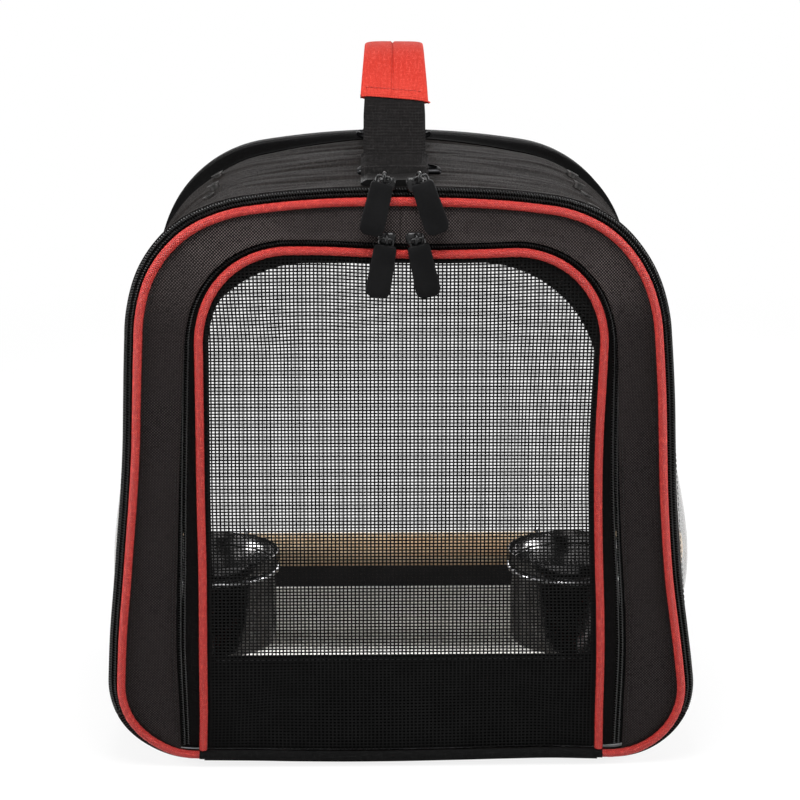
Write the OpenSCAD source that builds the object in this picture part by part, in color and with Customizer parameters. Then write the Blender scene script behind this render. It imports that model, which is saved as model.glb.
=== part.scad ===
// Soft-sided bird travel carrier: a zipped front panel with a mesh door, clear side
// windows, a webbing handle, and a perch, two hanging cups and a tray inside.
// Origin at the centre of the base, +Z up, the front faces -Y.

/* [Body] */
// Width across the lower corners
body_w = 350; // [320:1:380]
// Depth from the front fabric to the rear fabric
body_d = 280; // [250:1:310]
// Height of the roof at its centre line
body_h = 348; // [330:1:370]
// Radius of the gently arched roof
roof_r = 560; // [480:5:700]
// Radius of the shoulders between roof and sides
shoulder_r = 84; // [70:1:92]
// Radius of the lower corners
corner_r = 50; // [40:1:56]
// Outward lean of the sides from vertical, in degrees
side_lean = 4.6; // [3:0.1:5.5]
// Thickness of the padded fabric panels
fabric_t = 3; // [2:0.1:4]
// Height of the seam between the base and the sides
base_seam_z = 30; // [24:1:40]
// Height of the seam between the sides and the roof
roof_seam_z = 262; // [250:1:264]
// Distance of the stiff board's edges from the start of the lower corners
board_setback = 1; // [1:1:20]
// Thickness of the stiff board
board_t = 3; // [2:0.5:5]

/* [Piping and zips] */
// Diameter of the round piping
piping_d = 5.5; // [4:0.1:6]
// Distance of the outer piping's centre from the side and roof outline
piping_inset = 8; // [7.8:0.1:9]
// Width of each half of a zip coil
coil_w = 2.1; // [1.5:0.1:2.2]
// Thickness of a zip coil
coil_t = 2.4; // [1.8:0.1:3]
// Thickness of zip tape
tape_t = 0.8; // [0.5:0.1:1]
// Gap between the two halves of a coil
coil_gap = 0.3; // [0.2:0.05:0.5]
// Distance of the shell's half of the outer coil from the outline
coil_inset = 0.4; // [0.2:0.1:0.6]

/* [Mesh door] */
// Distance of the door piping's centre in from half the body's width
door_setback = 56.2; // [51:0.2:75]
// Distance of the door piping's centre below the roof
door_drop = 36.7; // [34:0.1:50]
// Radius of the door's upper corners
door_corner_r = 55; // [40:1:70]
// Height of the door's lower edge
door_base_z = 7.6; // [7.4:0.1:9]
// Distance of the inner coil from the door piping at the sides
door_coil_side = 11; // [9:0.2:13]
// Distance of the inner coil from the door piping at the top
door_coil_top = 5.6; // [5.4:0.1:8]
// Height of the backed lower part of the door
kick_z = 68; // [50:1:90]
// Thickness of the mesh
mesh_t = 0.8; // [0.6:0.1:1]
// Width of a bar of the net
bar_w = 1.6; // [1:0.1:2]
// Gaps of the door net across
door_gaps_x = 14; // [8:1:16]
// Gaps of the door net up
door_gaps_z = 12; // [8:1:16]

/* [Rear window] */
// Distance of the rear window's sides in from half the body's width
rear_setback = 32; // [30:1:55]
// Height of the rear window's top
rear_top_z = 257; // [230:1:280]
// Height of the rear window's sill
rear_sill_z = 64; // [50:1:90]
// Radius of the rear window's upper corners
rear_corner_r = 85; // [60:1:95]
// Gaps of the rear net across
rear_gaps_x = 12; // [8:1:14]
// Gaps of the rear net up
rear_gaps_z = 9; // [6:1:12]
// How far the edge binding stands proud of the roof
binding_proud = 0.7; // [0.4:0.1:1]
// Width of the edge binding
binding_w = 11; // [8:1:16]

/* [Side windows] */
// Length of a side window
window_l = 224; // [180:2:232]
// Height of a side window's sill
window_sill_z = 58; // [56:1:70]
// Height of a side window's head
window_head_z = 238; // [220:1:250]
// Radius of a side window's corners
window_corner_r = 18; // [10:1:24]
// Thickness of the clear film
film_t = 1; // [0.8:0.1:1.2]
// How far the right film bulges past the side
right_bulge = 17; // [15:0.5:19]
// How far the left film bulges past the side
left_bulge = 10.5; // [8.5:0.5:14]
// Width of the film sewn behind the fabric
film_lap = 6; // [4:1:8]

/* [Vents] */
// Vent holes on each shoulder
vent_count = 4; // [2:1:5]
// Radius of a vent hole
vent_r = 3; // [2:0.5:4]
// Distance between vent holes
vent_pitch = 47; // [30:1:50]
// Distance of the first vent hole from the front
vent_first = 35; // [25:1:45]
// Angle of the vents around the shoulder, from horizontal
vent_angle = 62; // [45:1:75]

/* [Handle] */
// Width of the webbing
webbing_w = 38; // [30:1:40]
// Thickness of the webbing
webbing_t = 1.8; // [1.4:0.1:2.2]
// Height of the strap's centre above the rings at the apex
handle_rise = 63.5; // [55:0.5:75]
// Slope of the strap's legs, in degrees
handle_slope = 50; // [45:1:55]
// Half angle of the arch that the grip covers, in degrees
grip_half_angle = 44; // [30:1:46]
// Width of the grip sleeve
grip_w = 41.5; // [40:0.5:46]
// Thickness of the grip sleeve
grip_t = 7; // [6:0.2:9]
// Distance of each ring's bar from the front or rear face
ring_setback = 45; // [38:1:55]
// Radius of the ring wire
ring_wire_r = 1.75; // [1.5:0.05:2]
// Radius of the ring's bow
ring_bow_r = 23; // [21.5:0.5:26]
// Length of the ring's straight legs
ring_leg = 6; // [3:1:8]

/* [Zip pulls] */
// Length of a rubber tab
tab_l = 31; // [26:1:36]
// Width of a rubber tab
tab_w = 16.4; // [13:0.2:17]
// Thickness of a rubber tab
tab_t = 3; // [2.6:0.1:3.4]
// Width of a slider
slider_w = 12; // [9:0.5:13]
// Height of a slider
slider_h = 9; // [8:0.5:9]
// Thickness of a slider's front plate
slider_t = 2.3; // [2:0.1:2.6]
// Thickness of the wire link
link_t = 1.4; // [1:0.1:1.6]
// Distance of each slider from the centre line
slider_x = 8; // [7:0.5:10]
// Lean of the outer left, outer right, inner left and inner right tabs, in degrees
tab_lean = [13.5, 18.7, 9.8, 12.5]; // [0:0.1:20]

// Height of an outer pull's pin above the roof
outer_pin_rise = 8.5; // [7:0.5:10]
// Height of an inner pull's pin above the inner coil
inner_pin_rise = 3.3; // [2.5:0.1:3.5]
// Distance of an outer pull's pin in front of its slider
outer_pin_reach = 6.3; // [6.2:0.1:8]
// Distance of an inner pull's pin in front of its slider
inner_pin_reach = 2.4; // [2.2:0.1:2.5]

/* [Perch] */
// Diameter of the perch
perch_d = 22; // [18:1:24]
// Height of the perch's centre
perch_z = 93; // [85:1:98]
// How far the perch's left end reaches past half the body's width
perch_left_reach = 3; // [0:0.5:4]
// How far the perch's right end reaches past half the body's width
perch_right_reach = 9.5; // [0:0.5:10]
// Thickness of a perch cradle
cradle_t = 3; // [2:0.5:4]
// Half width of a perch cradle
cradle_half_w = 22; // [18:1:28]
// Lower edge of a perch cradle
cradle_foot_z = 34; // [32:1:38]
// Radius of a rivet
rivet_r = 2; // [1.5:0.1:2.5]
// Half the distance between a cradle's rivets
rivet_y = 14; // [10:1:16]

/* [Cups] */
// Outer radius of a cup's body
cup_r = 37.5; // [32:0.5:40]
// Outer radius of a cup's collar
collar_r = 40; // [35:0.5:43]
// Height of a cup's rim
cup_rim_z = 109; // [105:1:112]
// Height of a cup's bottom
cup_base_z = 50; // [44:1:60]
// Height of a cup's collar
collar_h = 9.2; // [8:0.1:11]
// Wall of the steel cups and tray
steel_t = 0.8; // [0.6:0.1:1.2]
// Distances of the left and right cup centres in from half the body's width
cup_setback = [60.5, 66]; // [59:0.5:80]
// Radius of the holder's wire
holder_wire_r = 1.5; // [1.2:0.1:2]
// Half the distance between a holder's hooks
hook_x = 18; // [12:1:24]

/* [Tray] */
// Distance of the tray's sides from the start of the lower corners
tray_setback = 3; // [0:1:22]
// Depth of the tray
tray_d = 188; // [150:1:220]
// Height of the tray's walls
tray_h = 32; // [20:1:36]
// Radius of the tray's corners
tray_corner_r = 14; // [8:1:24]
// Width of the tray's lip
lip_w = 3; // [2:0.5:5]

/* [Hidden] */
clearance = 0.3;
play = 0.5;
far = 1000;
arc_steps = 12;
roof_steps = 8;
fine = 96;

front_y = -body_d / 2;
rear_y = body_d / 2;
tape_front_y = front_y + coil_t;
panel_back_y = tape_front_y + tape_t;
shell_tape_y = panel_back_y + clearance;
shell_front_y = shell_tape_y + tape_t;
shell_tape_lap = 10;
shell_rear_y = rear_y - fabric_t;
piping_r = piping_d / 2;
piping_y = tape_front_y - piping_r;
proud_y = piping_y - piping_r;
piping_base_z = 1.5 + piping_r;

// The outline's side line is outline_n . [x, z] = side_k.
outline_n = [cos(side_lean), sin(side_lean)];
side_k = outline_n * [body_w / 2 - corner_r, corner_r] + corner_r;
roof_centre_z = body_h - roof_r;
shoulder_angle = asin((side_k - shoulder_r - outline_n[1] * roof_centre_z) / (roof_r - shoulder_r))
    - side_lean;
shoulder_x = (roof_r - shoulder_r) * sin(shoulder_angle);
shoulder_z = roof_centre_z + (roof_r - shoulder_r) * cos(shoulder_angle);

panel_coil_inset = coil_inset + coil_w + coil_gap;
panel_edge_inset = piping_inset + piping_r;
panel_edge_base = piping_base_z + piping_r;
zip_end_step = 9;

door_half_w = body_w / 2 - door_setback;
door_top_z = body_h - door_drop;
door_coil_half_w = door_half_w + door_coil_side;
door_coil_top_z = door_top_z + door_coil_top;
door_coil_r = door_corner_r + door_coil_top;
panel_opening = coil_gap / 2 + coil_w + 1.2;

rear_half_w = body_w / 2 - rear_setback;
board_w = body_w - 2 * corner_r - 2 * board_setback;
tray_w = body_w - 2 * corner_r - 2 * tray_setback;
board_z = fabric_t;
tray_z = board_z + board_t;
wire_r = 1.25;
wire_inset = fabric_t + wire_r + 0.1;
wire_y = -shell_front_y - shell_tape_lap - clearance - wire_r;

ring_y = -(body_d / 2 - ring_setback);
anchor_z = body_h + 0.1;
anchor_t = 1.6;
ring_z = anchor_z + anchor_t + clearance + ring_wire_r;
fold_r = ring_wire_r + clearance + anchor_t;
fold_l = 12;
handle_run = -ring_y;
handle_r = (handle_run * tan(handle_slope) - handle_rise)
    / (sin(handle_slope) * tan(handle_slope) - 1 + cos(handle_slope));
apex_z = ring_z + handle_rise;

perch_r = perch_d / 2;
perch_left = body_w / 2 + perch_left_reach;
perch_right = body_w / 2 + perch_right_reach;
hook_r = perch_r + clearance + holder_wire_r;
holder_r = cup_r + play + holder_wire_r;
cup_x = [cup_setback[0] - body_w / 2, body_w / 2 - cup_setback[1]];
cup_y = -(perch_r + play + holder_wire_r + holder_r);
collar_z = cup_rim_z - collar_h;
holder_z = collar_z - clearance - holder_wire_r;
cradle_x = corner_x(cradle_foot_z) - fabric_t - clearance - cradle_t;
cradle_top_z = perch_z + perch_r;
rivet_z = (cradle_foot_z + window_sill_z) / 2;

// [pivot x, pivot z, lean, slider centre z, distance of the tab in front of the slider]
pulls = [
    [-slider_x - 1.5, body_h + outer_pin_rise, tab_lean[0], body_h + 2.4, outer_pin_reach],
    [slider_x + 2.5, body_h + outer_pin_rise, -tab_lean[1], body_h + 2.4, outer_pin_reach],
    [-slider_x, door_coil_top_z + inner_pin_rise, tab_lean[2], door_coil_top_z + 2, inner_pin_reach],
    [slider_x + 1, door_coil_top_z + inner_pin_rise, -tab_lean[3], door_coil_top_z + 2, inner_pin_reach],
];
slider_y = front_y - clearance;

// ---- Outlines in the XZ plane; each entry is [x, z, outward x, outward z] ----

function side_x(z) = (side_k - outline_n[1] * z) / outline_n[0];

function corner_x(z) = body_w / 2 - corner_r + sqrt(pow(corner_r, 2) - pow(corner_r - z, 2));

function arc(cx, cz, r, a0, a1, n) =
    [for (i = [0:n]) let (a = a0 + (a1 - a0) * i / n)
        [cx + r * cos(a), cz + r * sin(a), cos(a), sin(a)]];

function mirrored(path) =
    [for (i = [len(path) - 1:-1:0]) [-path[i][0], path[i][1], -path[i][2], path[i][3]]];

// The body's outline drawn in by an inset at the sides and roof and lifted by base below.
function arch(inset, base) =
    let (
        r = corner_r - (inset + base) / 2,
        z = base + r,
        x = (side_k - inset - r - outline_n[1] * z) / outline_n[0],
        corner = arc(x, z, r, -90, side_lean, arc_steps),
        shoulder = arc(shoulder_x, shoulder_z, shoulder_r - inset, side_lean,
            90 - shoulder_angle, arc_steps),
        roof = arc(0, roof_centre_z, roof_r - inset, 90 - shoulder_angle,
            90 + shoulder_angle, roof_steps)
    )
    concat(corner, shoulder, [for (i = [1:roof_steps - 1]) roof[i]],
        mirrored(shoulder), mirrored(corner));

// The part of an arch above the middle of its lower corners.
function zip_arch(inset) =
    let (path = arch(inset, inset / 2))
    [for (i = [zip_end_step:len(path) - 1 - zip_end_step]) path[i]];

// An upright opening with a flat sill and rounded upper corners.
function doorway(half_w, top_z, r, base_z) =
    let (corner = arc(half_w - r, top_z - r, r, 0, 90, arc_steps))
    concat([[half_w, base_z, 1, 0]], corner, mirrored(corner), [[-half_w, base_z, -1, 0]]);

function points(path) = [for (p = path) [p[0], p[1]]];

function round_section(r, y, sides = 8) =
    [for (i = [0:sides - 1]) let (a = 360 * (i + 0.5) / sides) [r * cos(a), y + r * sin(a)]];

// Carries a section of [outward, y] points along a path in the XZ plane.
module sweep(path, section, closed = false) {
    n = len(path);
    m = len(section);
    last = closed ? n - 1 : n - 2;
    corners = [for (p = path) for (s = section) [p[0] + p[2] * s[0], s[1], p[1] + p[3] * s[0]]];
    walls = [for (i = [0:last]) for (j = [0:m - 1])
        let (a = i * m, b = ((i + 1) % n) * m, k = (j + 1) % m)
        [a + j, b + j, b + k, a + k]];
    caps = closed ? [] : [[for (j = [0:m - 1]) j], [for (j = [m - 1:-1:0]) (n - 1) * m + j]];
    polyhedron(corners, concat(walls, caps), convexity = 6);
}

module along_y(y0, y1) {
    translate([0, y1, 0]) rotate([90, 0, 0]) linear_extrude(y1 - y0) children();
}

module along_x(x0, x1) {
    translate([x0, 0, 0]) rotate([90, 0, 90]) linear_extrude(x1 - x0) children();
}

module ring(inset0, base0, inset1, base1) {
    difference() {
        polygon(points(arch(inset0, base0)));
        polygon(points(arch(inset1, base1)));
    }
}

module heights(z0, z1) {
    translate([-far, z0]) square([2 * far, z1 - z0]);
}

module right_half() {
    translate([0, -far]) square([far, 2 * far]);
}

module rounded_rect(w, h, r) {
    square([w - 2 * r, h], center = true);
    square([w, h - 2 * r], center = true);
    for (x = [-1, 1], y = [-1, 1])
        translate([x * (w / 2 - r), y * (h / 2 - r)]) circle(r, $fn = fine);
}

// ---- Shell ----

module roof_panel() color([0.24, 0.23, 0.22])
    difference() {
        along_y(shell_front_y, shell_rear_y) intersection() {
            ring(0, 0, fabric_t, fabric_t);
            heights(roof_seam_z, body_h + 1);
        }
        vents(vent_r, shoulder_r - 2 * fabric_t, shoulder_r + 2);
    }

module vents(r, from, to) {
    for (side = [-1, 1], i = [0:vent_count - 1])
        translate([side * shoulder_x, front_y + vent_first + i * vent_pitch, shoulder_z])
            rotate([0, side * (90 - vent_angle), 0])
                translate([0, 0, from]) cylinder(to - from, r = r, $fn = fine);
}

module vent_eyelets() color([0.6, 0.6, 0.62])
    difference() {
        union() {
            vents(vent_r - 0.1, shoulder_r - fabric_t, shoulder_r + 0.5);
            vents(vent_r + 1.2, shoulder_r, shoulder_r + 0.6);
        }
        vents(vent_r - 0.7, shoulder_r - 2 * fabric_t, shoulder_r + 2);
    }

module right_side_shape() {
    difference() {
        along_y(shell_front_y, shell_rear_y) intersection() {
            ring(0, 0, fabric_t, fabric_t);
            heights(base_seam_z, roof_seam_z);
            right_half();
        }
        translate([0, 0, (window_sill_z + window_head_z) / 2]) along_x(side_x(body_h) - 9, body_w)
            rounded_rect(window_l, window_head_z - window_sill_z, window_corner_r);
        for (y = [-rivet_y, rivet_y])
            translate([0, y, rivet_z]) rotate([0, 90, 0]) cylinder(body_w, r = rivet_r + 0.1, $fn = fine);
    }
}

module right_side_panel() color([0.22, 0.21, 0.2]) right_side_shape();

module left_side_panel() color([0.22, 0.21, 0.2]) mirror([1, 0, 0]) right_side_shape();

// Film: fullest near the perch, flat where it is sewn behind the fabric.
module film(bulge) {
    steps_y = 20;
    steps_z = 14;
    half_l = window_l / 2;
    height = window_head_z - window_sill_z;
    ys = concat([-half_l - film_lap], [for (i = [0:steps_y]) -half_l + window_l * i / steps_y],
        [half_l + film_lap]);
    zs = concat([window_sill_z - film_lap],
        [for (i = [0:steps_z]) window_sill_z + height * i / steps_z], [window_head_z + film_lap]);
    function swell(y, z) = abs(y) >= half_l || z <= window_sill_z || z >= window_head_z ? 0
        : pow(cos(90 * y / half_l), 2) * sin(180 * sqrt((z - window_sill_z) / height));
    function film_x(y, z) = side_x(z) - fabric_t / cos(side_lean) - clearance
        + (bulge + fabric_t) * swell(y, z);
    ny = len(ys);
    nz = len(zs);
    outer = [for (z = zs) for (y = ys) [film_x(y, z), y, z]];
    inner = [for (p = outer) [p[0] - film_t, p[1], p[2]]];
    count = ny * nz;
    skin = [for (i = [0:nz - 2]) for (j = [0:ny - 2])
        let (a = i * ny + j) each [[a, a + ny, a + ny + 1], [a, a + ny + 1, a + 1]]];
    back = [for (t = skin) [t[2] + count, t[1] + count, t[0] + count]];
    rim = concat([for (j = [0:ny - 1]) j],
        [for (i = [1:nz - 1]) i * ny + ny - 1],
        [for (j = [ny - 2:-1:0]) (nz - 1) * ny + j],
        [for (i = [nz - 2:-1:1]) i * ny]);
    edge = [for (i = [0:len(rim) - 1])
        let (a = rim[i], b = rim[(i + 1) % len(rim)])
        each [[a, b, b + count], [a, b + count, a + count]]];
    polyhedron(concat(outer, inner), concat(skin, back, edge), convexity = 6);
}

module right_window() color([0.8, 0.85, 0.9, 0.4]) film(right_bulge);

module left_window() color([0.8, 0.85, 0.9, 0.4]) mirror([1, 0, 0]) film(left_bulge);

module base_panel() color([0.2, 0.19, 0.18])
    along_y(shell_front_y, shell_rear_y) intersection() {
        ring(0, 0, fabric_t, fabric_t);
        heights(-1, base_seam_z);
    }

module base_board() color([0.1, 0.1, 0.1])
    translate([-board_w / 2, -wire_y + wire_r + play, board_z])
        cube([board_w, 2 * (wire_y - wire_r - play), board_t]);

module rear_opening(grow) {
    polygon(points(doorway(rear_half_w + grow, rear_top_z + grow, rear_corner_r + grow,
        rear_sill_z - grow)));
}

module rear_panel() color([0.22, 0.21, 0.2])
    along_y(shell_rear_y, rear_y) difference() {
        polygon(points(arch(0, 0)));
        rear_opening(0);
    }

// A flat net: an outline less a grid of gaps, with a plain border.
module net(half_w, base_z, top_z, gaps_x, gaps_z, border) {
    pitch_x = (2 * half_w - 2 * border + bar_w) / gaps_x;
    pitch_z = (top_z - base_z - 2 * border + bar_w) / gaps_z;
    difference() {
        children(0);
        intersection() {
            children(1);
            for (i = [0:gaps_x - 1], j = [0:gaps_z - 1])
                translate([-half_w + border + i * pitch_x, base_z + border + j * pitch_z])
                    square([pitch_x - bar_w, pitch_z - bar_w]);
        }
    }
}

module rear_mesh() color([0.08, 0.08, 0.08])
    along_y(shell_rear_y - mesh_t, shell_rear_y)
        net(rear_half_w, rear_sill_z, rear_top_z, rear_gaps_x, rear_gaps_z, 2) {
            rear_opening(5);
            rear_opening(-2);
        }

module rear_binding() color([0.06, 0.06, 0.06]) {
    along_y(rear_y - binding_w, rear_y) ring(-binding_proud, 0, 0, 0);
    along_y(rear_y, rear_y + piping_r) ring(-binding_proud, 0, piping_d, piping_d);
}

module frame_wire(y) {
    sweep(arch(wire_inset, wire_inset), round_section(wire_r, y, 6), closed = true);
}

module front_frame_wire() color([0.6, 0.6, 0.62]) frame_wire(-wire_y);

module rear_frame_wire() color([0.6, 0.6, 0.62]) frame_wire(wire_y);

module outer_zip_shell_half() color([0.05, 0.05, 0.05])
    sweep(zip_arch(0), [
        [-coil_inset, front_y], [-coil_inset, shell_front_y], [-fabric_t, shell_front_y],
        [-fabric_t, shell_front_y + shell_tape_lap],
        [-fabric_t - tape_t, shell_front_y + shell_tape_lap], [-fabric_t - tape_t, shell_tape_y],
        [-coil_inset - coil_w, shell_tape_y], [-coil_inset - coil_w, front_y],
    ]);

module ring_anchor(start_y) {
    along_x(-webbing_w / 2 - 1, webbing_w / 2 + 1) difference() {
        union() {
            translate([start_y, anchor_z]) square([ring_y - start_y, anchor_t]);
            translate([ring_y, ring_z]) circle(fold_r, $fn = fine);
            translate([ring_y, ring_z]) rotate(handle_slope)
                translate([0, -anchor_t]) square([fold_l - clearance, 2 * anchor_t]);
        }
        translate([ring_y, ring_z]) circle(ring_wire_r + clearance, $fn = fine);
    }
}

module front_ring_anchor() color([0.07, 0.07, 0.07]) ring_anchor(shell_front_y);

module rear_ring_anchor() color([0.07, 0.07, 0.07])
    mirror([0, 1, 0]) ring_anchor(binding_w + clearance - rear_y);

module right_cradle() {
    difference() {
        along_x(cradle_x, cradle_x + cradle_t) difference() {
            translate([-cradle_half_w, cradle_foot_z])
                square([2 * cradle_half_w, cradle_top_z - cradle_foot_z]);
            translate([0, perch_z]) circle(perch_r + clearance, $fn = fine);
            translate([-perch_r - clearance, perch_z]) square([2 * (perch_r + clearance), perch_d]);
        }
        for (y = [-rivet_y, rivet_y])
            translate([0, y, rivet_z]) rotate([0, 90, 0]) cylinder(body_w, r = rivet_r + 0.1, $fn = fine);
    }
}

module right_perch_cradle() color([0.09, 0.09, 0.09]) right_cradle();

module left_perch_cradle() color([0.09, 0.09, 0.09]) mirror([1, 0, 0]) right_cradle();

module cradle_rivets() color([0.55, 0.55, 0.57]) {
    outer_x = corner_x(rivet_z);
    for (side = [-1, 1], y = [-rivet_y, rivet_y])
        translate([side * cradle_x, y, rivet_z]) rotate([0, side * 90, 0]) {
            translate([0, 0, -1.2]) cylinder(1.2, r = 2 * rivet_r, $fn = fine);
            cylinder(outer_x - cradle_x + 0.6, r = rivet_r, $fn = fine);
            translate([0, 0, outer_x - cradle_x + 0.1]) cylinder(1, r = 2 * rivet_r, $fn = fine);
        }
}

// ---- Front panel ----

module door_opening(grow) {
    polygon(points(doorway(door_coil_half_w + grow, door_coil_top_z + grow, door_coil_r + grow, -1)));
}

module front_panel() color([0.25, 0.23, 0.22])
    along_y(front_y, front_y + fabric_t) difference() {
        polygon(points(arch(panel_edge_inset, panel_edge_base)));
        door_opening(panel_opening);
    }

module outer_piping() color([0.85, 0.2, 0.16])
    sweep(arch(piping_inset, piping_base_z), round_section(piping_r / cos(22.5), piping_y), closed = true);

module outer_zip_panel_half() color([0.05, 0.05, 0.05])
    sweep(zip_arch(0), [
        [-panel_coil_inset, front_y], [-panel_coil_inset, panel_back_y],
        [clearance - panel_edge_inset, panel_back_y], [clearance - panel_edge_inset, tape_front_y],
        [-panel_coil_inset - coil_w, tape_front_y], [-panel_coil_inset - coil_w, front_y],
    ]);

function door_coil_path() =
    doorway(door_coil_half_w, door_coil_top_z, door_coil_r, door_base_z + piping_r);

module inner_zip_panel_half() color([0.05, 0.05, 0.05])
    sweep(door_coil_path(), [
        [coil_gap / 2, front_y], [coil_gap / 2 + coil_w, front_y],
        [coil_gap / 2 + coil_w, tape_front_y], [panel_opening, tape_front_y],
        [panel_opening, panel_back_y], [coil_gap / 2, panel_back_y],
    ]);

// ---- Mesh door ----

function door_piping_path() = doorway(door_half_w, door_top_z, door_corner_r, door_base_z);

module door_shape(shrink) {
    polygon(points(doorway(door_half_w - shrink, door_top_z - shrink, door_corner_r - shrink,
        door_base_z)));
}

module inner_zip_door_half() color([0.05, 0.05, 0.05]) {
    along_y(tape_front_y, panel_back_y) difference() {
        polygon(points(doorway(door_coil_half_w - coil_gap / 2, door_coil_top_z - coil_gap / 2,
            door_coil_r - coil_gap / 2, door_base_z)));
        translate([0, -1]) door_shape(2 * piping_r);
        translate([-door_half_w / 2, 0]) square([door_half_w, door_base_z + 1]);
    }
    sweep(door_coil_path(), [
        [-coil_gap / 2 - coil_w, front_y], [-coil_gap / 2, front_y],
        [-coil_gap / 2, tape_front_y + tape_t / 2], [-coil_gap / 2 - coil_w, tape_front_y + tape_t / 2],
    ]);
}

module inner_piping() color([0.85, 0.2, 0.16])
    sweep(door_piping_path(), round_section(piping_r / cos(22.5), piping_y));

module door_mesh() color([0.07, 0.07, 0.07])
    along_y(tape_front_y - mesh_t, tape_front_y)
        net(door_half_w - piping_r, door_base_z, door_top_z - piping_r, door_gaps_x, door_gaps_z, 2) {
            door_shape(piping_r);
            door_shape(piping_r + 2);
        }

module door_kick_panel() color([0.05, 0.05, 0.05])
    along_y(tape_front_y, tape_front_y + 1.2) intersection() {
        door_shape(2 * piping_r);
        heights(door_base_z, kick_z);
    }

// ---- Zip sliders and pulls ----

// Places what hangs from a slider: the pull's pin lies along X at the origin, the tab is below.
module at_pull(i) {
    translate([pulls[i][0], slider_y - slider_t - pulls[i][4], pulls[i][1]])
        rotate([0, pulls[i][2], 0]) children();
}

module slider_shape(i) {
    lift = pulls[i][4];
    side = i % 2 == 0 ? -1 : 1;
    translate([side * slider_x - slider_w / 2, slider_y - slider_t, pulls[i][3] - slider_h / 2])
        cube([slider_w, slider_t, slider_h]);
    at_pull(i) difference() {
        translate([-1.4, -1.9, -2.2]) cube([2.8, lift + 1.9 + slider_t / 2, 4.4]);
        translate([-far / 2, 0, 0]) rotate([0, 90, 0]) cylinder(far, r = link_t / 2 + 0.6, $fn = fine);
    }
}

module link_outline(grow) {
    difference() {
        translate([0, -2.2]) rounded_rect(9.4 + 2 * grow, 5.8 + 2 * grow, 2);
        translate([0, -2.2]) rounded_rect(9.4 - 2 * link_t - 2 * grow, 5.8 - 2 * link_t - 2 * grow, 0.7);
    }
}

module link_shape(i) {
    at_pull(i) along_y(-link_t / 2, link_t / 2) link_outline(0);
}

module tab_shape(i) {
    top = -3.6;
    at_pull(i) difference() {
        along_y(-tab_t / 2, tab_t / 2) {
            translate([0, top - tab_l + tab_w / 2]) circle(tab_w / 2, $fn = fine);
            polygon([
                [-tab_w / 2, top - tab_l + tab_w / 2], [tab_w / 2, top - tab_l + tab_w / 2],
                [tab_w / 2, top - 6], [tab_w / 2 - 3, top], [3 - tab_w / 2, top], [-tab_w / 2, top - 6],
            ]);
        }
        along_y(-link_t / 2 - 0.1, link_t / 2 + 0.1) link_outline(0.1);
        translate([-3.4, -far / 2, -4.6]) cube([6.8, far, 1.6]);
    }
}

module outer_left_slider() color([0.08, 0.08, 0.08]) slider_shape(0);

module outer_right_slider() color([0.08, 0.08, 0.08]) slider_shape(1);

module inner_left_slider() color([0.08, 0.08, 0.08]) slider_shape(2);

module inner_right_slider() color([0.08, 0.08, 0.08]) slider_shape(3);

module outer_left_link() color([0.1, 0.1, 0.1]) link_shape(0);

module outer_right_link() color([0.1, 0.1, 0.1]) link_shape(1);

module inner_left_link() color([0.1, 0.1, 0.1]) link_shape(2);

module inner_right_link() color([0.1, 0.1, 0.1]) link_shape(3);

module outer_left_tab() color([0.12, 0.12, 0.12]) tab_shape(0);

module outer_right_tab() color([0.12, 0.12, 0.12]) tab_shape(1);

module inner_left_tab() color([0.12, 0.12, 0.12]) tab_shape(2);

module inner_right_tab() color([0.12, 0.12, 0.12]) tab_shape(3);

// ---- Handle ----

// The handle's side profile in the YZ plane, from end to end or only over its arch.
function handle_arch(half_angle) =
    arc(0, apex_z - handle_r, handle_r, 90 - half_angle, 90 + half_angle, 2 * arc_steps);

function handle_leg_end(side) =
    [side * (ring_y + fold_l * cos(handle_slope)), ring_z + fold_l * sin(handle_slope),
        -side * sin(handle_slope), cos(handle_slope)];

module strip(path, thick) {
    outer = [for (p = path) [p[0] + p[2] * thick / 2, p[1] + p[3] * thick / 2]];
    inner = [for (p = path) [p[0] - p[2] * thick / 2, p[1] - p[3] * thick / 2]];
    polygon(concat(outer, [for (i = [len(path) - 1:-1:0]) inner[i]]));
}

module handle_strap() color([0.07, 0.07, 0.07])
    along_x(-webbing_w / 2, webbing_w / 2)
        strip(concat([handle_leg_end(-1)], handle_arch(handle_slope), [handle_leg_end(1)]), webbing_t);

module handle_grip() color([0.88, 0.28, 0.24])
    difference() {
        along_x(-grip_w / 2, grip_w / 2) strip(handle_arch(grip_half_angle), grip_t);
        along_x(-webbing_w / 2 - clearance, webbing_w / 2 + clearance)
            strip(handle_arch(handle_slope), webbing_t + 2 * clearance);
    }

module d_ring() {
    translate([0, ring_y, ring_z]) {
        translate([-ring_bow_r, 0, 0]) rotate([0, 90, 0])
            cylinder(2 * ring_bow_r, r = ring_wire_r, $fn = fine);
        for (side = [-1, 1]) translate([side * ring_bow_r, 0, 0]) {
            sphere(ring_wire_r, $fn = fine);
            rotate([-90, 0, 0]) cylinder(ring_leg, r = ring_wire_r, $fn = fine);
        }
        translate([0, ring_leg, 0]) rotate_extrude(angle = 180, $fn = fine)
            translate([ring_bow_r, 0]) circle(ring_wire_r, $fn = fine);
    }
}

module front_ring() color([0.3, 0.3, 0.31]) d_ring();

module rear_ring() color([0.3, 0.3, 0.31]) mirror([0, 1, 0]) d_ring();

// ---- Perch, cups and tray ----

module perch() color([0.76, 0.6, 0.44])
    translate([-perch_left, 0, perch_z]) rotate([0, 90, 0])
        cylinder(perch_left + perch_right, r = perch_r, $fn = fine);

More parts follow.
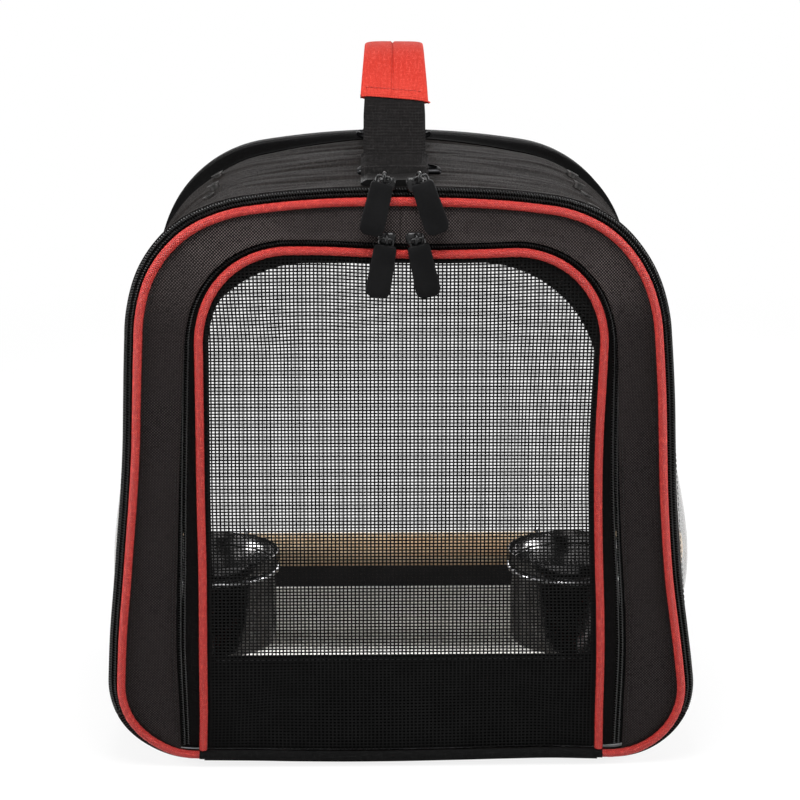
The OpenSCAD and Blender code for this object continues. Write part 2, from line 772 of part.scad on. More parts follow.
module cup_holder(i) {
    translate([cup_x[i], 0, 0]) {
        translate([0, cup_y, holder_z]) rotate_extrude($fn = fine)
            translate([holder_r, 0]) circle(holder_wire_r, $fn = fine);
        reach_y = cup_y + sqrt(pow(holder_r, 2) - pow(hook_x, 2));
        start = asin((holder_z - perch_z) / hook_r);
        hook_y = -hook_r * cos(start);
        for (x = [-hook_x, hook_x]) translate([x, 0, 0]) {
            translate([0, reach_y, holder_z]) rotate([-90, 0, 0])
                cylinder(hook_y - reach_y, r = holder_wire_r, $fn = fine);
            translate([0, hook_y, holder_z]) sphere(holder_wire_r, $fn = fine);
            translate([0, 0, perch_z]) rotate([0, -90, 0]) rotate([0, 0, -100])
                rotate_extrude(angle = 190 - start, $fn = fine)
                    translate([hook_r, 0]) circle(holder_wire_r, $fn = fine);
        }
    }
}

module left_cup_holder() color([0.7, 0.7, 0.72]) cup_holder(0);

module right_cup_holder() color([0.7, 0.7, 0.72]) cup_holder(1);

module cup(i) {
    translate([cup_x[i], cup_y, 0]) rotate_extrude($fn = fine)
        polygon([
            [0, cup_base_z], [cup_r - 2, cup_base_z], [cup_r, cup_base_z + 2], [cup_r, collar_z],
            [collar_r, collar_z], [collar_r, cup_rim_z], [collar_r - steel_t, cup_rim_z],
            [collar_r - steel_t, collar_z + steel_t], [cup_r - steel_t, collar_z + steel_t],
            [cup_r - steel_t, cup_base_z + 2.3], [cup_r - 2.3, cup_base_z + steel_t],
            [0, cup_base_z + steel_t],
        ]);
}

module left_cup() color([0.75, 0.75, 0.77]) cup(0);

module right_cup() color([0.75, 0.75, 0.77]) cup(1);

module tray() color([0.8, 0.8, 0.81])
    translate([0, 0, tray_z]) {
        difference() {
            linear_extrude(tray_h) rounded_rect(tray_w, tray_d, tray_corner_r);
            translate([0, 0, steel_t]) linear_extrude(tray_h)
                rounded_rect(tray_w - 2 * steel_t, tray_d - 2 * steel_t, tray_corner_r - steel_t);
        }
        translate([0, 0, tray_h - steel_t]) linear_extrude(steel_t) difference() {
            rounded_rect(tray_w + 2 * lip_w, tray_d + 2 * lip_w, tray_corner_r + lip_w);
            rounded_rect(tray_w - steel_t, tray_d - steel_t, tray_corner_r - steel_t / 2);
        }
    }

roof_panel();
left_side_panel();
right_side_panel();
left_window();
right_window();
base_panel();
base_board();
rear_panel();
rear_mesh();
rear_binding();
front_frame_wire();
rear_frame_wire();
vent_eyelets();
outer_zip_shell_half();
front_ring_anchor();
rear_ring_anchor();
left_perch_cradle();
right_perch_cradle();
cradle_rivets();
front_panel();
outer_piping();
outer_zip_panel_half();
inner_zip_panel_half();
door_mesh();
door_kick_panel();
inner_piping();
inner_zip_door_half();
outer_left_slider();
outer_right_slider();
inner_left_slider();
inner_right_slider();
outer_left_link();
outer_right_link();
inner_left_link();
inner_right_link();
outer_left_tab();
outer_right_tab();
inner_left_tab();
inner_right_tab();
handle_strap();
handle_grip();
front_ring();
rear_ring();
perch();
left_cup_holder();
right_cup_holder();
left_cup();
right_cup();
tray();
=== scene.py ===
# %% [markdown]
# # A soft travel carrier for a bird
# A folding bag of grey fabric on two sprung wire hoops, with a zipped front panel, a mesh
# door in it, clear side windows, a webbing handle, and a perch, two cups and a tray inside.
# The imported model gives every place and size. Here each plain solid gets the skin that the
# real one has: padded cloth, zip coils, woven piping, mesh threads, wood and steel.

# %% Load the frame
import math

import bpy
import numpy as np
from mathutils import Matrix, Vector


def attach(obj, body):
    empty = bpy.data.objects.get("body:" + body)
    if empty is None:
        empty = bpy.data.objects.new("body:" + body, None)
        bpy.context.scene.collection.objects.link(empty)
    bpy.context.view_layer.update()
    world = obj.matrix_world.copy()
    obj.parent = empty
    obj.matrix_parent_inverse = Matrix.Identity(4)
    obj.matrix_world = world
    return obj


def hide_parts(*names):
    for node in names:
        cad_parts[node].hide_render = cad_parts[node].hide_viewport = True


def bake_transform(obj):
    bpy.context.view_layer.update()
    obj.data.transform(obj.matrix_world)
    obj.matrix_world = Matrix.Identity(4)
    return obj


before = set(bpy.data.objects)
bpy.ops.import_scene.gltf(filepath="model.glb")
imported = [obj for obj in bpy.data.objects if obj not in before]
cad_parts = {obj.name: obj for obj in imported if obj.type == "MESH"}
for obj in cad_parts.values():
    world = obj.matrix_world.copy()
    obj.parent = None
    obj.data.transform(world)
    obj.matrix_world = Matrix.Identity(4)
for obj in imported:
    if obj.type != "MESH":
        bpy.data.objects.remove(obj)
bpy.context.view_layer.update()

# %% [markdown]
# ## Camera
# The photograph was taken from about a metre and a half away with a long lens, a little
# above the roof and slightly to the left, so the camera comes first: it decides which
# sides show, and every later choice of detail is judged through it. The lens is long, so
# the front stays almost square and the roof shows as a thin band.

# %% Camera
LENS_PIXELS = 2455
FRAME_PIXELS = 800
CAMERA_PITCH = math.radians(13.12)
CAMERA_YAW = math.radians(1.16)
CAMERA_PLACE = (-0.0285, -1.526, 0.548)

camera_data = bpy.data.cameras.new("photo_camera")
camera_data.sensor_width = 36
camera_data.lens = LENS_PIXELS / FRAME_PIXELS * camera_data.sensor_width
camera = bpy.data.objects.new("photo_camera", camera_data)
camera.location = CAMERA_PLACE
camera.rotation_euler = (math.pi / 2 - CAMERA_PITCH, 0, -CAMERA_YAW)
bpy.context.scene.collection.objects.link(camera)
bpy.context.scene.camera = camera
print("lens", round(camera_data.lens, 1), "mm")

# %% [markdown]
# ## Selecting and starting clean
# An operator works on all that is selected, and loading the frame leaves its objects
# selected. So every step starts by letting go of everything.

# %% Small helpers for the mesh work


def let_go():
    if bpy.context.object and bpy.context.object.mode != "OBJECT":
        bpy.ops.object.mode_set(mode="OBJECT")
    bpy.ops.object.select_all(action="DESELECT")


def pick(piece):
    let_go()
    piece.select_set(True)
    bpy.context.view_layer.objects.active = piece
    return piece


def added(name):
    """Names the piece that an operator has just added."""
    piece = bpy.context.active_object
    piece.name = piece.data.name = name
    return piece


def places(piece):
    co = np.zeros(len(piece.data.vertices) * 3, np.float32)
    piece.data.vertices.foreach_get("co", co)
    return co.reshape(-1, 3).astype(float)


def move_to(piece, co):
    piece.data.vertices.foreach_set("co", np.asarray(co, np.float32).ravel())
    piece.data.update()


def edit_all(piece, operator, **settings):
    """Runs a mesh operator on all of a piece."""
    pick(piece)
    bpy.ops.object.mode_set(mode="EDIT")
    bpy.ops.mesh.select_all(action="SELECT")
    operator(**settings)
    bpy.ops.object.mode_set(mode="OBJECT")


def merge_doubles(piece, distance=0.00001):
    edit_all(piece, bpy.ops.mesh.remove_doubles, threshold=distance)


def face_outwards(piece):
    edit_all(piece, bpy.ops.mesh.normals_make_consistent, inside=False)


def fill_ends(piece):
    edit_all(piece, bpy.ops.mesh.fill_holes, sides=0)


def close_tube(piece):
    """Makes a solid of a grid that was rolled up: joins its edges and closes its two ends."""
    merge_doubles(piece)
    fill_ends(piece)
    face_outwards(piece)


def apply_modifier(piece, kind, **settings):
    pick(piece)
    modifier = piece.modifiers.new(kind.title(), kind)
    for key, value in settings.items():
        setattr(modifier, key, value)
    bpy.ops.object.modifier_apply(modifier=modifier.name)


def repeat(piece, count, step):
    """Copies a piece in a row, each copy one step on."""
    apply_modifier(piece, "ARRAY", count=count, use_relative_offset=False,
        use_constant_offset=True, constant_offset_displace=step)


def smooth(piece, angle=40):
    pick(piece)
    bpy.ops.object.shade_smooth_by_angle(angle=math.radians(angle))


def settle(piece):
    pick(piece)
    bpy.ops.object.transform_apply(location=True, rotation=True, scale=True)


# %% [markdown]
# ## Laying a grid over a form
# Most of this bag is cloth that follows a line: the roof follows the arch, the piping
# follows the door. A grid is added, and each of its points is carried to its place on the
# form, as a tailor lays flat cloth over a dummy. The grid's own UV map then holds the
# cloth's flat sizes in metres, and the weave follows the cloth wherever it turns.

# %% A sheet laid over a form
BODY_MIDDLE = Vector((0, 0, 0.17))


def lay_grid(name, across, along, place, size=(1, 1)):
    """Lays a grid by place(u, v), with u and v from 0 to 1; size is its flat size in metres."""
    let_go()
    bpy.ops.mesh.primitive_grid_add(
        x_subdivisions=across, y_subdivisions=along, size=2, calc_uvs=True)
    piece = added(name)
    flat = places(piece)
    move_to(piece, np.stack(place((flat[:, 0] + 1) / 2, (flat[:, 1] + 1) / 2), 1))
    uv = np.zeros(len(piece.data.loops) * 2, np.float32)
    piece.data.uv_layers[0].data.foreach_get("uv", uv)
    uv = uv.reshape(-1, 2) * np.array(size)
    piece.data.uv_layers[0].data.foreach_set("uv", uv.astype(np.float32).ravel())
    return piece


def thicken(piece, thickness, lining=0):
    """Thickens a sheet inwards; lining is the slot of its back and its edges."""
    apply_modifier(piece, "SOLIDIFY", thickness=thickness, offset=-1,
        use_even_offset=True, material_offset=lining, material_offset_rim=lining)


def make_cloth(piece, thickness, lining=0, middle=BODY_MIDDLE, angle=40):
    """Turns an open sheet's faces away from the middle and gives it its thickness."""
    facing = sum((f.center - middle).dot(f.normal) * f.area for f in piece.data.polygons)
    if facing < 0:
        edit_all(piece, bpy.ops.mesh.flip_normals)
    thicken(piece, thickness, lining)
    smooth(piece, angle)


def read_points(v, points):
    """Reads a chain of points at a share, each step taken as equally long."""
    points = np.array(points)
    at = np.linspace(0, 1, len(points))
    return tuple(np.interp(v, at, column) for column in points.T)


def ease(t):
    """0 below 0 and 1 above 1, with a soft step between."""
    t = np.clip(t, 0, 1)
    return t * t * (3 - 2 * t)


# %% [markdown]
# ## The outlines
# The bag's front view is one arch: rounded lower corners, sides that lean out a little,
# big shoulders and a gently curved roof. The door is an upright opening with rounded upper
# corners. Each outline is a row of points with the direction that faces outwards, so that
# tape, coil and piping can all be laid beside it at their own distance.

# %% The outlines
BODY_W, BODY_D, BODY_H = 0.350, 0.280, 0.348
ROOF_R, SHOULDER_R, CORNER_R = 0.560, 0.084, 0.050
SIDE_LEAN = math.radians(4.6)
FRONT_Y, REAR_Y = -BODY_D / 2, BODY_D / 2
SHELL_FRONT_Y, SHELL_REAR_Y = -0.1357, 0.137
FABRIC_T = 0.003
PIPING_R = 0.00275
PIPING_Y = -0.14035
BASE_SEAM_Z, ROOF_SEAM_Z = 0.030, 0.262

side_out = (math.cos(SIDE_LEAN), math.sin(SIDE_LEAN))
side_k = side_out[0] * (BODY_W / 2 - CORNER_R) + side_out[1] * CORNER_R + CORNER_R
roof_z = BODY_H - ROOF_R
shoulder_angle = math.asin(
    (side_k - SHOULDER_R - side_out[1] * roof_z) / (ROOF_R - SHOULDER_R)) - SIDE_LEAN
shoulder_x = (ROOF_R - SHOULDER_R) * math.sin(shoulder_angle)
shoulder_z = roof_z + (ROOF_R - SHOULDER_R) * math.cos(shoulder_angle)


def arc(x, z, r, start, end, count):
    a = np.linspace(start, end, count + 1)
    return np.stack([x + r * np.cos(a), z + r * np.sin(a), np.cos(a), np.sin(a)], 1)


def mirrored(path):
    return path[::-1] * np.array([-1, 1, -1, 1])


def arch(inset=0.0, base=0.0, fine=16):
    r = CORNER_R - (inset + base) / 2
    z = base + r
    x = (side_k - inset - r - side_out[1] * z) / side_out[0]
    quarter = math.pi / 2
    corner = arc(x, z, r, -quarter, SIDE_LEAN, fine)
    shoulder = arc(shoulder_x, shoulder_z, SHOULDER_R - inset, SIDE_LEAN,
        quarter - shoulder_angle, fine)
    roof = arc(0, roof_z, ROOF_R - inset, quarter - shoulder_angle,
        quarter + shoulder_angle, fine)
    return np.vstack([corner, shoulder, roof[1:-1], mirrored(shoulder), mirrored(corner)])


def doorway(half_w, top, r, base):
    corner = arc(half_w - r, top - r, r, 0, math.pi / 2, 24)
    foot = np.array([[half_w, base, 1, 0]])
    return np.vstack([foot, corner, mirrored(corner), mirrored(foot)])


def side_x(z):
    return (side_k - side_out[1] * z) / side_out[0]


def outline_x(z):
    """The body's half width at a height, lower corner and shoulder included."""
    low = BODY_W / 2 - CORNER_R + np.sqrt(np.maximum(CORNER_R**2 - (CORNER_R - z) ** 2, 0))
    high = shoulder_x + np.sqrt(np.maximum(SHOULDER_R**2 - (z - shoulder_z) ** 2, 0))
    corner_top = CORNER_R * (1 + math.sin(SIDE_LEAN))
    shoulder_foot = shoulder_z + SHOULDER_R * math.sin(SIDE_LEAN)
    return np.where(z < corner_top, low, np.where(z > shoulder_foot, high, side_x(z)))


class Line:
    """An outline that can be read at any share of its length."""

    def __init__(self, path, closed=False):
        path = np.vstack([path, path[:1]]) if closed else path
        step = np.linalg.norm(np.diff(path[:, :2], axis=0), axis=1)
        self.at = np.concatenate([[0], np.cumsum(step)])
        self.path = path
        self.length = self.at[-1]

    def read(self, share):
        x, z, nx, nz = (np.interp(share * self.length, self.at, c) for c in self.path.T)
        size = np.hypot(nx, nz)
        return x, z, nx / size, nz / size

    def share_of(self, test):
        """The first and last share of the points that pass a test on [x, z, nx, nz]."""
        hits = self.at[[bool(test(p)) for p in self.path]]
        return hits.min() / self.length, hits.max() / self.length


body_line = Line(arch())
print("the arch is", round(body_line.length, 4), "m long")

# %% [markdown]
# ## Uneven cloth
# Real cloth is never quite flat. Its soft hollows and creases are made here from a handful
# of waves with fixed random directions, so the bag comes out the same each time.

# %% Waves for uneven cloth


def waves(a, b, seed, length, squeeze=1.0, count=7):
    """A smooth uneven height from -1 to 1 over two coordinates in metres."""
    dice = np.random.default_rng(seed)
    total = np.zeros_like(a)
    for _ in range(count):
        turn, shift, stretch = dice.uniform(0, 2 * math.pi, 2).tolist() + [dice.uniform(0.7, 1.6)]
        ka = math.cos(turn) * squeeze
        kb = math.sin(turn)
        total += np.sin((ka * a + kb * b) * 2 * math.pi / (length * stretch) + shift)
    return total / count * 1.7


def window_edge(value, low, high, soft):
    """0 outside low to high, 1 well inside, with a soft step."""
    return ease(np.minimum(value - low, high - value) / soft)


# %% [markdown]
# ## The front hoop's real line
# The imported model's front is an even arch. On the real bag the cloth has settled: the front
# hoop's shoulders stand a few millimetres out, the right side and the door's sides are drawn
# in, and the foot's edge lifts off the floor. Each row below says how far one place on the
# piping is moved, and the cloth between them follows smoothly. The pull fades out behind the
# front hoop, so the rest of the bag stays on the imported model.

# %% How the cloth has settled
# Each row: a place's x and z, then how far it moves to the right and up, in millimetres.
SETTLED = [
    (149, 12, 0.3, 0.8), (165, 34, 0.9, -0.3), (166, 61, 0.1, 0), (164, 88, -1.6, 0),
    (162, 115, -3.5, -0.3), (160, 142, -3.7, -0.3), (158, 169, -3.4, -0.3),
    (155, 196, -2.2, -0.2), (153, 223, -0.9, 0), (151, 250, -0.6, 0), (148, 277, -0.9, -0.2),
    (137, 301, 0.9, 0.6), (118, 320, 1.9, 2.8), (93, 332, 0.8, 3.1), (66, 336, 0.4, 3.1),
    (39, 339, 0, 1.8), (0, 340, 0, 1.4), (-42, 338, 0, 1.8), (-69, 336, -0.3, 3.0),
    (-95, 331, -1.0, 3.5), (-120, 319, -3.6, 4.9), (-138, 299, -4.6, 2.9),
    (-148, 274, -2.0, 0.4), (-151, 247, -1.2, 0.1), (-153, 220, 0.1, 0), (-156, 193, 1.4, 0),
    (-158, 166, 1.5, 0), (-160, 139, 0.9, 0), (-162, 112, 0.7, 0), (-164, 85, -0.2, 0),
    (-166, 58, 0.5, 0), (-164, 31, 1.7, 0.7), (-147, 11, 2.5, 4.0), (-120, 4, 0, 3.8),
    (-90, 4, 0, 3.0), (-60, 4, 0, 2.2), (-30, 4, 0, 1.8), (0, 4, 0, 1.9), (30, 4, 0, 2.4),
    (60, 4, 0, 3.0), (90, 4, 0, 3.6), (120, 4, 0, 3.0), (119, 31, -0.4, 0.6),
    (119, 54, 0.2, 0), (119, 78, 0, 0), (119, 101, -0.6, 0), (119, 125, -1.9, 0),
    (119, 148, -2.6, 0), (119, 172, -3.3, 0), (119, 195, -3.3, 0), (119, 219, -2.8, 0),
    (119, 242, -1.5, 0), (118, 266, -1.0, 0), (109, 287, 0.3, 0.2), (92, 303, 0.3, 0.5),
    (70, 311, 0, -0.6), (47, 311, 0, -1.4), (23, 311, 0, -1.4), (0, 311, 0, -1.2),
    (-23, 311, 0, 0), (-47, 311, 0, 1.6), (-70, 311, 0, 0.9), (-92, 303, -0.4, 0.8),
    (-109, 287, 0.8, -0.6), (-118, 266, 3.2, -0.5), (-119, 242, 2.5, 0), (-119, 219, 2.3, 0),
    (-119, 195, 2.1, 0), (-119, 172, 1.9, 0), (-119, 148, 2.0, 0), (-119, 125, 2.3, 0),
    (-119, 101, 2.0, 0), (-119, 78, 1.7, 0), (-119, 54, 1.4, 0), (-119, 31, 1.5, 0.6),
]
SETTLE_REACH = 0.0155
SETTLE_FULL_Y, SETTLE_NONE_Y = -0.1340, -0.1105


def settle_cloth(piece):
    """Moves the cloth near the front hoop as the table above says."""
    co = places(piece)
    depth = np.clip((SETTLE_NONE_Y - co[:, 1]) / (SETTLE_NONE_Y - SETTLE_FULL_Y), 0, 1)
    near = np.flatnonzero(depth > 0)
    if not len(near):
        return
    table = np.array(SETTLED) / 1000
    depth = depth[near] ** 2 * (3 - 2 * depth[near])
    weight, across, up = 0.01, 0, 0
    for x, z, dx, dz in table:
        apart = (co[near, 0] - x) ** 2 + (co[near, 2] - z) ** 2
        w = np.exp(-apart / (2 * SETTLE_REACH ** 2))
        weight, across, up = weight + w, across + w * dx, up + w * dz
    co[near, 0] += across / weight * depth
    co[near, 2] += up / weight * depth
    move_to(piece, co)


# %% [markdown]
# ## Finishes
# Each finish is a set of nodes. What more than one finish needs is a node group: a weave
# that draws yarns going over and under each other, a fleck that scatters light yarns in a
# dark cloth, and a rub that lightens and dulls a surface unevenly, as use does. The groups
# give out only heights and masks, and each finish has its own shader.

# %% The shared node groups


def new_group(name, inputs, outputs):
    tree = bpy.data.node_groups.new(name, "ShaderNodeTree")
    for label, kind, value in inputs:
        made = tree.interface.new_socket(label, in_out="INPUT", socket_type=kind)
        if value is not None:
            made.default_value = value
    for label in outputs:
        tree.interface.new_socket(label, in_out="OUTPUT", socket_type="NodeSocketFloat")
    return tree, tree.nodes.new("NodeGroupInput"), tree.nodes.new("NodeGroupOutput")


def join(tree, value, socket):
    if isinstance(value, bpy.types.NodeSocket):
        tree.links.new(value, socket)
    else:
        socket.default_value = value


def add_node(tree, kind, inputs, **settings):
    """Adds a node, sets or links its inputs, and returns its outputs."""
    made = tree.nodes.new("ShaderNode" + kind)
    for key, value in settings.items():
        setattr(made, key, value)
    for key, value in inputs.items():
        join(tree, value, made.inputs[key])
    return made.outputs


def calc(tree, operation, a, b=0.0, c=0.0):
    return add_node(tree, "Math", {0: a, 1: b, 2: c}, operation=operation)[0]


def stretch(tree, vector, scale):
    return add_node(tree, "VectorMath", {0: vector, 1: scale}, operation="MULTIPLY")[0]


def noise(tree, vector, scale, detail=2.0):
    return add_node(tree, "TexNoise", {"Vector": vector, "Scale": scale, "Detail": detail})["Fac"]


def remap(tree, value, low, high, to_low=0.0, to_high=1.0):
    return add_node(tree, "MapRange", {"Value": value, "From Min": low, "From Max": high,
        "To Min": to_low, "To Max": to_high}, interpolation_type="SMOOTHSTEP")["Result"]


def split_axes(tree, vector):
    return add_node(tree, "SeparateXYZ", {0: vector})


def make_weave():
    tree, given, out = new_group("Weave",
        [("Vector", "NodeSocketVector", None), ("Yarn Across", "NodeSocketFloat", 0.0006),
            ("Yarn Along", "NodeSocketFloat", 0.0006), ("Repeat", "NodeSocketFloat", 2.0)],
        ["Height", "Across On Top"])
    split = split_axes(tree, given.outputs["Vector"])
    a = calc(tree, "DIVIDE", split[0], given.outputs["Yarn Across"])
    b = calc(tree, "DIVIDE", split[1], given.outputs["Yarn Along"])
    cell = calc(tree, "ADD", calc(tree, "FLOOR", a), calc(tree, "FLOOR", b))
    turn = calc(tree, "FLOORED_MODULO", cell, given.outputs["Repeat"])
    over = calc(tree, "LESS_THAN", turn, 0.5)
    round_a = calc(tree, "SINE", calc(tree, "MULTIPLY", calc(tree, "FRACT", a), math.pi))
    round_b = calc(tree, "SINE", calc(tree, "MULTIPLY", calc(tree, "FRACT", b), math.pi))
    up = calc(tree, "MULTIPLY", round_a, calc(tree, "MULTIPLY_ADD", round_b, 0.5, 0.5))
    down = calc(tree, "MULTIPLY", round_b, calc(tree, "MULTIPLY_ADD", round_a, 0.5, 0.5))
    height = calc(tree, "ADD", calc(tree, "MULTIPLY", up, over),
        calc(tree, "MULTIPLY", down, calc(tree, "SUBTRACT", 1.0, over)))
    tree.links.new(height, out.inputs["Height"])
    tree.links.new(over, out.inputs["Across On Top"])
    return tree


def make_fleck():
    tree, given, out = new_group("Fleck",
        [("Vector", "NodeSocketVector", None), ("Length", "NodeSocketFloat", 0.004),
            ("Width", "NodeSocketFloat", 0.0007), ("Amount", "NodeSocketFloat", 0.5)],
        ["Mask"])
    split = split_axes(tree, given.outputs["Vector"])
    masks = []
    for first, second in ((0, 1), (1, 0)):
        mixed = add_node(tree, "CombineXYZ", {
            axis: calc(tree, "DIVIDE", split[axis], given.outputs[size])
            for axis, size in ((first, "Length"), (second, "Width"))})
        masks.append(noise(tree, mixed[0], 1.0, 1.0))
    best = calc(tree, "MAXIMUM", masks[0], masks[1])
    edge = calc(tree, "SUBTRACT", 0.86, calc(tree, "MULTIPLY", given.outputs["Amount"], 0.5))
    mask = remap(tree, best, calc(tree, "SUBTRACT", edge, 0.07), calc(tree, "ADD", edge, 0.07))
    tree.links.new(mask, out.inputs["Mask"])
    return tree


def make_rub():
    tree, given, out = new_group("Rub",
        [("Vector", "NodeSocketVector", None), ("Size", "NodeSocketFloat", 0.03)],
        ["Cloud", "Fine"])
    at = given.outputs["Vector"]
    cloud = noise(tree, at, calc(tree, "DIVIDE", 1.0, given.outputs["Size"]), 3.0)
    tree.links.new(remap(tree, cloud, 0.35, 0.65), out.inputs["Cloud"])
    tree.links.new(noise(tree, at, 900), out.inputs["Fine"])
    return tree


weave_group, fleck_group, rub_group = make_weave(), make_fleck(), make_rub()
print("node groups:", [g.name for g in bpy.data.node_groups])

# %% [markdown]
# ## Cloth finishes
# All the cloths share one recipe: the weave makes the bumps and paints shade into the gaps
# between yarns, flecks scatter a second yarn colour, and the rub makes some places paler. The
# numbers differ. The body cloth is a dark grey heather, the roof is a plainer charcoal, the
# piping and the grip are a bright red twill, and the tapes are black.

# %% Cloth finishes
FINISHES = {}


def new_finish(name, rough, metallic=0.0):
    material = bpy.data.materials.new(name)
    material.use_nodes = True
    shader = material.node_tree.nodes["Principled BSDF"]
    shader.inputs["Roughness"].default_value = rough
    shader.inputs["Metallic"].default_value = metallic
    FINISHES[name] = material
    return material.node_tree, shader


def where(tree, kind="UV"):
    return add_node(tree, "TexCoord", {})[kind]


def use_group(tree, group, **values):
    inputs = {key.replace("_", " "): value for key, value in values.items()}
    return add_node(tree, "Group", inputs, node_tree=group)


def three(value):
    """A single number stands for three alike: a grey, or one scale on every axis."""
    return value if isinstance(value, tuple) else (value, value, value)


def blend_colour(tree, amount, low, high):
    """Mixes two colours; the mix node keeps its colour inputs at 6 and 7, its output at 2."""
    low, high = (c if isinstance(c, bpy.types.NodeSocket) else (*three(c), 1)
        for c in (low, high))
    return add_node(tree, "Mix", {0: amount, 6: low, 7: high}, data_type="RGBA")[2]


def bump(tree, shader, height, distance):
    made = add_node(tree, "Bump", {"Distance": distance, "Strength": 1.0, "Height": height})
    tree.links.new(made[0], shader.inputs["Normal"])


def dress_shader(tree, shader, **values):
    """Sets or links the shader's inputs, which are named with _ for a space."""
    for key, value in values.items():
        join(tree, value, shader.inputs[key.replace("_", " ")])


def cloth(name, base, fleck, pale, yarn=(0.0006, 0.0006), repeat=2.0, amount=0.5,
        fleck_size=(0.004, 0.0007), rough=0.8, depth=0.0002, gloss=0.04, gap_shade=0.35, turn=0.0,
        two_tone=0.0, painted_top_light=None):
    """Yarn sizes and depths are in metres; painted_top_light gives two heights and the light
    yarn's strength at each, a painted light that makes the cloth paler towards the top; the
    colours are the dark yarn's, the light yarn's and the rubbed one."""
    tree, shader = new_finish(name, rough)
    at = turned = where(tree)
    if turn:
        turned = add_node(tree, "Mapping",
            {"Vector": at, "Rotation": (0, 0, math.radians(turn))})[0]
    woven = use_group(tree, weave_group, Vector=turned, Yarn_Across=yarn[0], Yarn_Along=yarn[1],
        Repeat=repeat)
    flecks = use_group(tree, fleck_group, Vector=at, Length=fleck_size[0],
        Width=fleck_size[1], Amount=amount)
    rub = use_group(tree, rub_group, Vector=where(tree, "Object"), Size=0.05)
    light_yarn = flecks["Mask"]
    if two_tone:
        light_yarn = calc(tree, "MULTIPLY", woven["Across On Top"],
            calc(tree, "MULTIPLY_ADD", light_yarn, two_tone, 1 - two_tone))
    # Painted light: the light yarn shows more strongly higher up, so the cloth is paler towards
    # the top, as if lit from above.
    if painted_top_light:
        height = split_axes(tree, where(tree, "Object"))["Z"]
        light_yarn = calc(tree, "MULTIPLY", light_yarn, remap(tree, height, *painted_top_light))
    colour = blend_colour(tree, light_yarn, base, fleck)
    colour = blend_colour(tree, calc(tree, "MULTIPLY", rub["Cloud"], 0.5), colour, pale)
    # Painted shade: where the weave is low, between the yarns, the colour darkens to the base
    # times gap_shade.
    gap_shade_colour = tuple(c * gap_shade for c in three(base))
    shade = remap(tree, woven["Height"], 0.0, 0.6)
    dress_shader(tree, shader, Base_Color=blend_colour(tree, shade, gap_shade_colour, colour),
        Specular_IOR_Level=gloss,
        Roughness=remap(tree, rub["Fine"], 0.2, 0.8, rough - 0.08, rough + 0.1))
    bump(tree, shader, woven["Height"], depth)


# The heather's light yarns are painted stronger towards the top, as painted light.
cloth("heather_fabric", (0.0070, 0.0058, 0.0060), (0.105, 0.087, 0.084), (0.024, 0.020, 0.0195),
    yarn=(0.00085, 0.00085), amount=0.75, fleck_size=(0.0050, 0.0012), depth=0.0003,
    two_tone=0.55, painted_top_light=(0.262, 0.304, 0.40, 1.22))
cloth("roof_fabric", (0.0085, 0.0072, 0.0068), (0.027, 0.0225, 0.0205), (0.017, 0.0145, 0.0135),
    yarn=(0.0008, 0.0008), amount=0.5, fleck_size=(0.006, 0.0009), depth=0.0003)
cloth("black_tape", 0.0035, 0.011, (0.007, 0.0068, 0.0068), yarn=(0.0009, 0.0006), repeat=3.0,
    rough=0.75, gloss=0.05)
cloth("zip_tape", (0.0035, 0.0032, 0.0032), (0.010, 0.0095, 0.0095), (0.006, 0.0058, 0.0058),
    yarn=(0.0007, 0.0005), repeat=4.0, rough=0.7, gloss=0.06)
cloth("webbing", (0.0055, 0.0050, 0.0050), (0.019, 0.0175, 0.0172), (0.011, 0.010, 0.010),
    yarn=(0.00105, 0.0005), repeat=1.0, rough=0.6, depth=0.0006, gloss=0.07, gap_shade=0.12)
cloth("backing", 0.0025, 0.005, 0.004, yarn=(0.0005, 0.0005), rough=0.9, gloss=0.02)
cloth("red_fabric", (0.43, 0.028, 0.018), (0.57, 0.066, 0.046), (0.50, 0.054, 0.039),
    yarn=(0.0011, 0.0009), repeat=3.0, amount=0.5, rough=0.75, gap_shade=0.55, depth=0.0003)
cloth("red_piping", (0.38, 0.010, 0.008), (0.68, 0.062, 0.043), (0.45, 0.022, 0.016),
    yarn=(0.00105, 0.00105), repeat=2.0, amount=0.5, rough=0.42, gloss=0.35, gap_shade=0.22,
    depth=0.0004, turn=45)
cloth("sewing_thread", 0.007, 0.03, 0.015, yarn=(0.0004, 0.0004), repeat=3.0, rough=0.5,
    gloss=0.15)
cloth("red_thread", (0.50, 0.04, 0.03), (0.70, 0.08, 0.06), (0.60, 0.06, 0.05),
    yarn=(0.0004, 0.0004), repeat=3.0, rough=0.5, gloss=0.3)
print("cloths:", sorted(FINISHES))

# %% [markdown]
# ## Hard finishes
# Steel is brushed or drawn, so its brightness and roughness run in streaks. Rubber is dull
# with a faint grain. The board and the moulded plastic have a fine leathery grain, and the
# clear film is thin, faintly smoky and slightly wavy. The perch is a pale turned dowel.

# %% Hard finishes


def streaks(tree, at, scale):
    return noise(tree, stretch(tree, at, three(scale)), 1.0, 3.0)


def metal(name, dark, light, rough=0.3, scale=(60, 60, 900), spread=0.12, metallic=1.0):
    tree, shader = new_finish(name, rough, metallic)
    at = where(tree, "Object")
    lines = streaks(tree, at, scale)
    rub = use_group(tree, rub_group, Vector=at, Size=0.02)
    tone = calc(tree, "MULTIPLY_ADD", lines, 0.7, calc(tree, "MULTIPLY", rub["Cloud"], 0.3))
    dress_shader(tree, shader, Base_Color=blend_colour(tree, tone, dark, light),
        Specular_Tint=(*light, 1),
        Roughness=remap(tree, tone, 0.2, 0.8, rough + spread, rough - spread / 2))
    bump(tree, shader, lines, 0.00002)


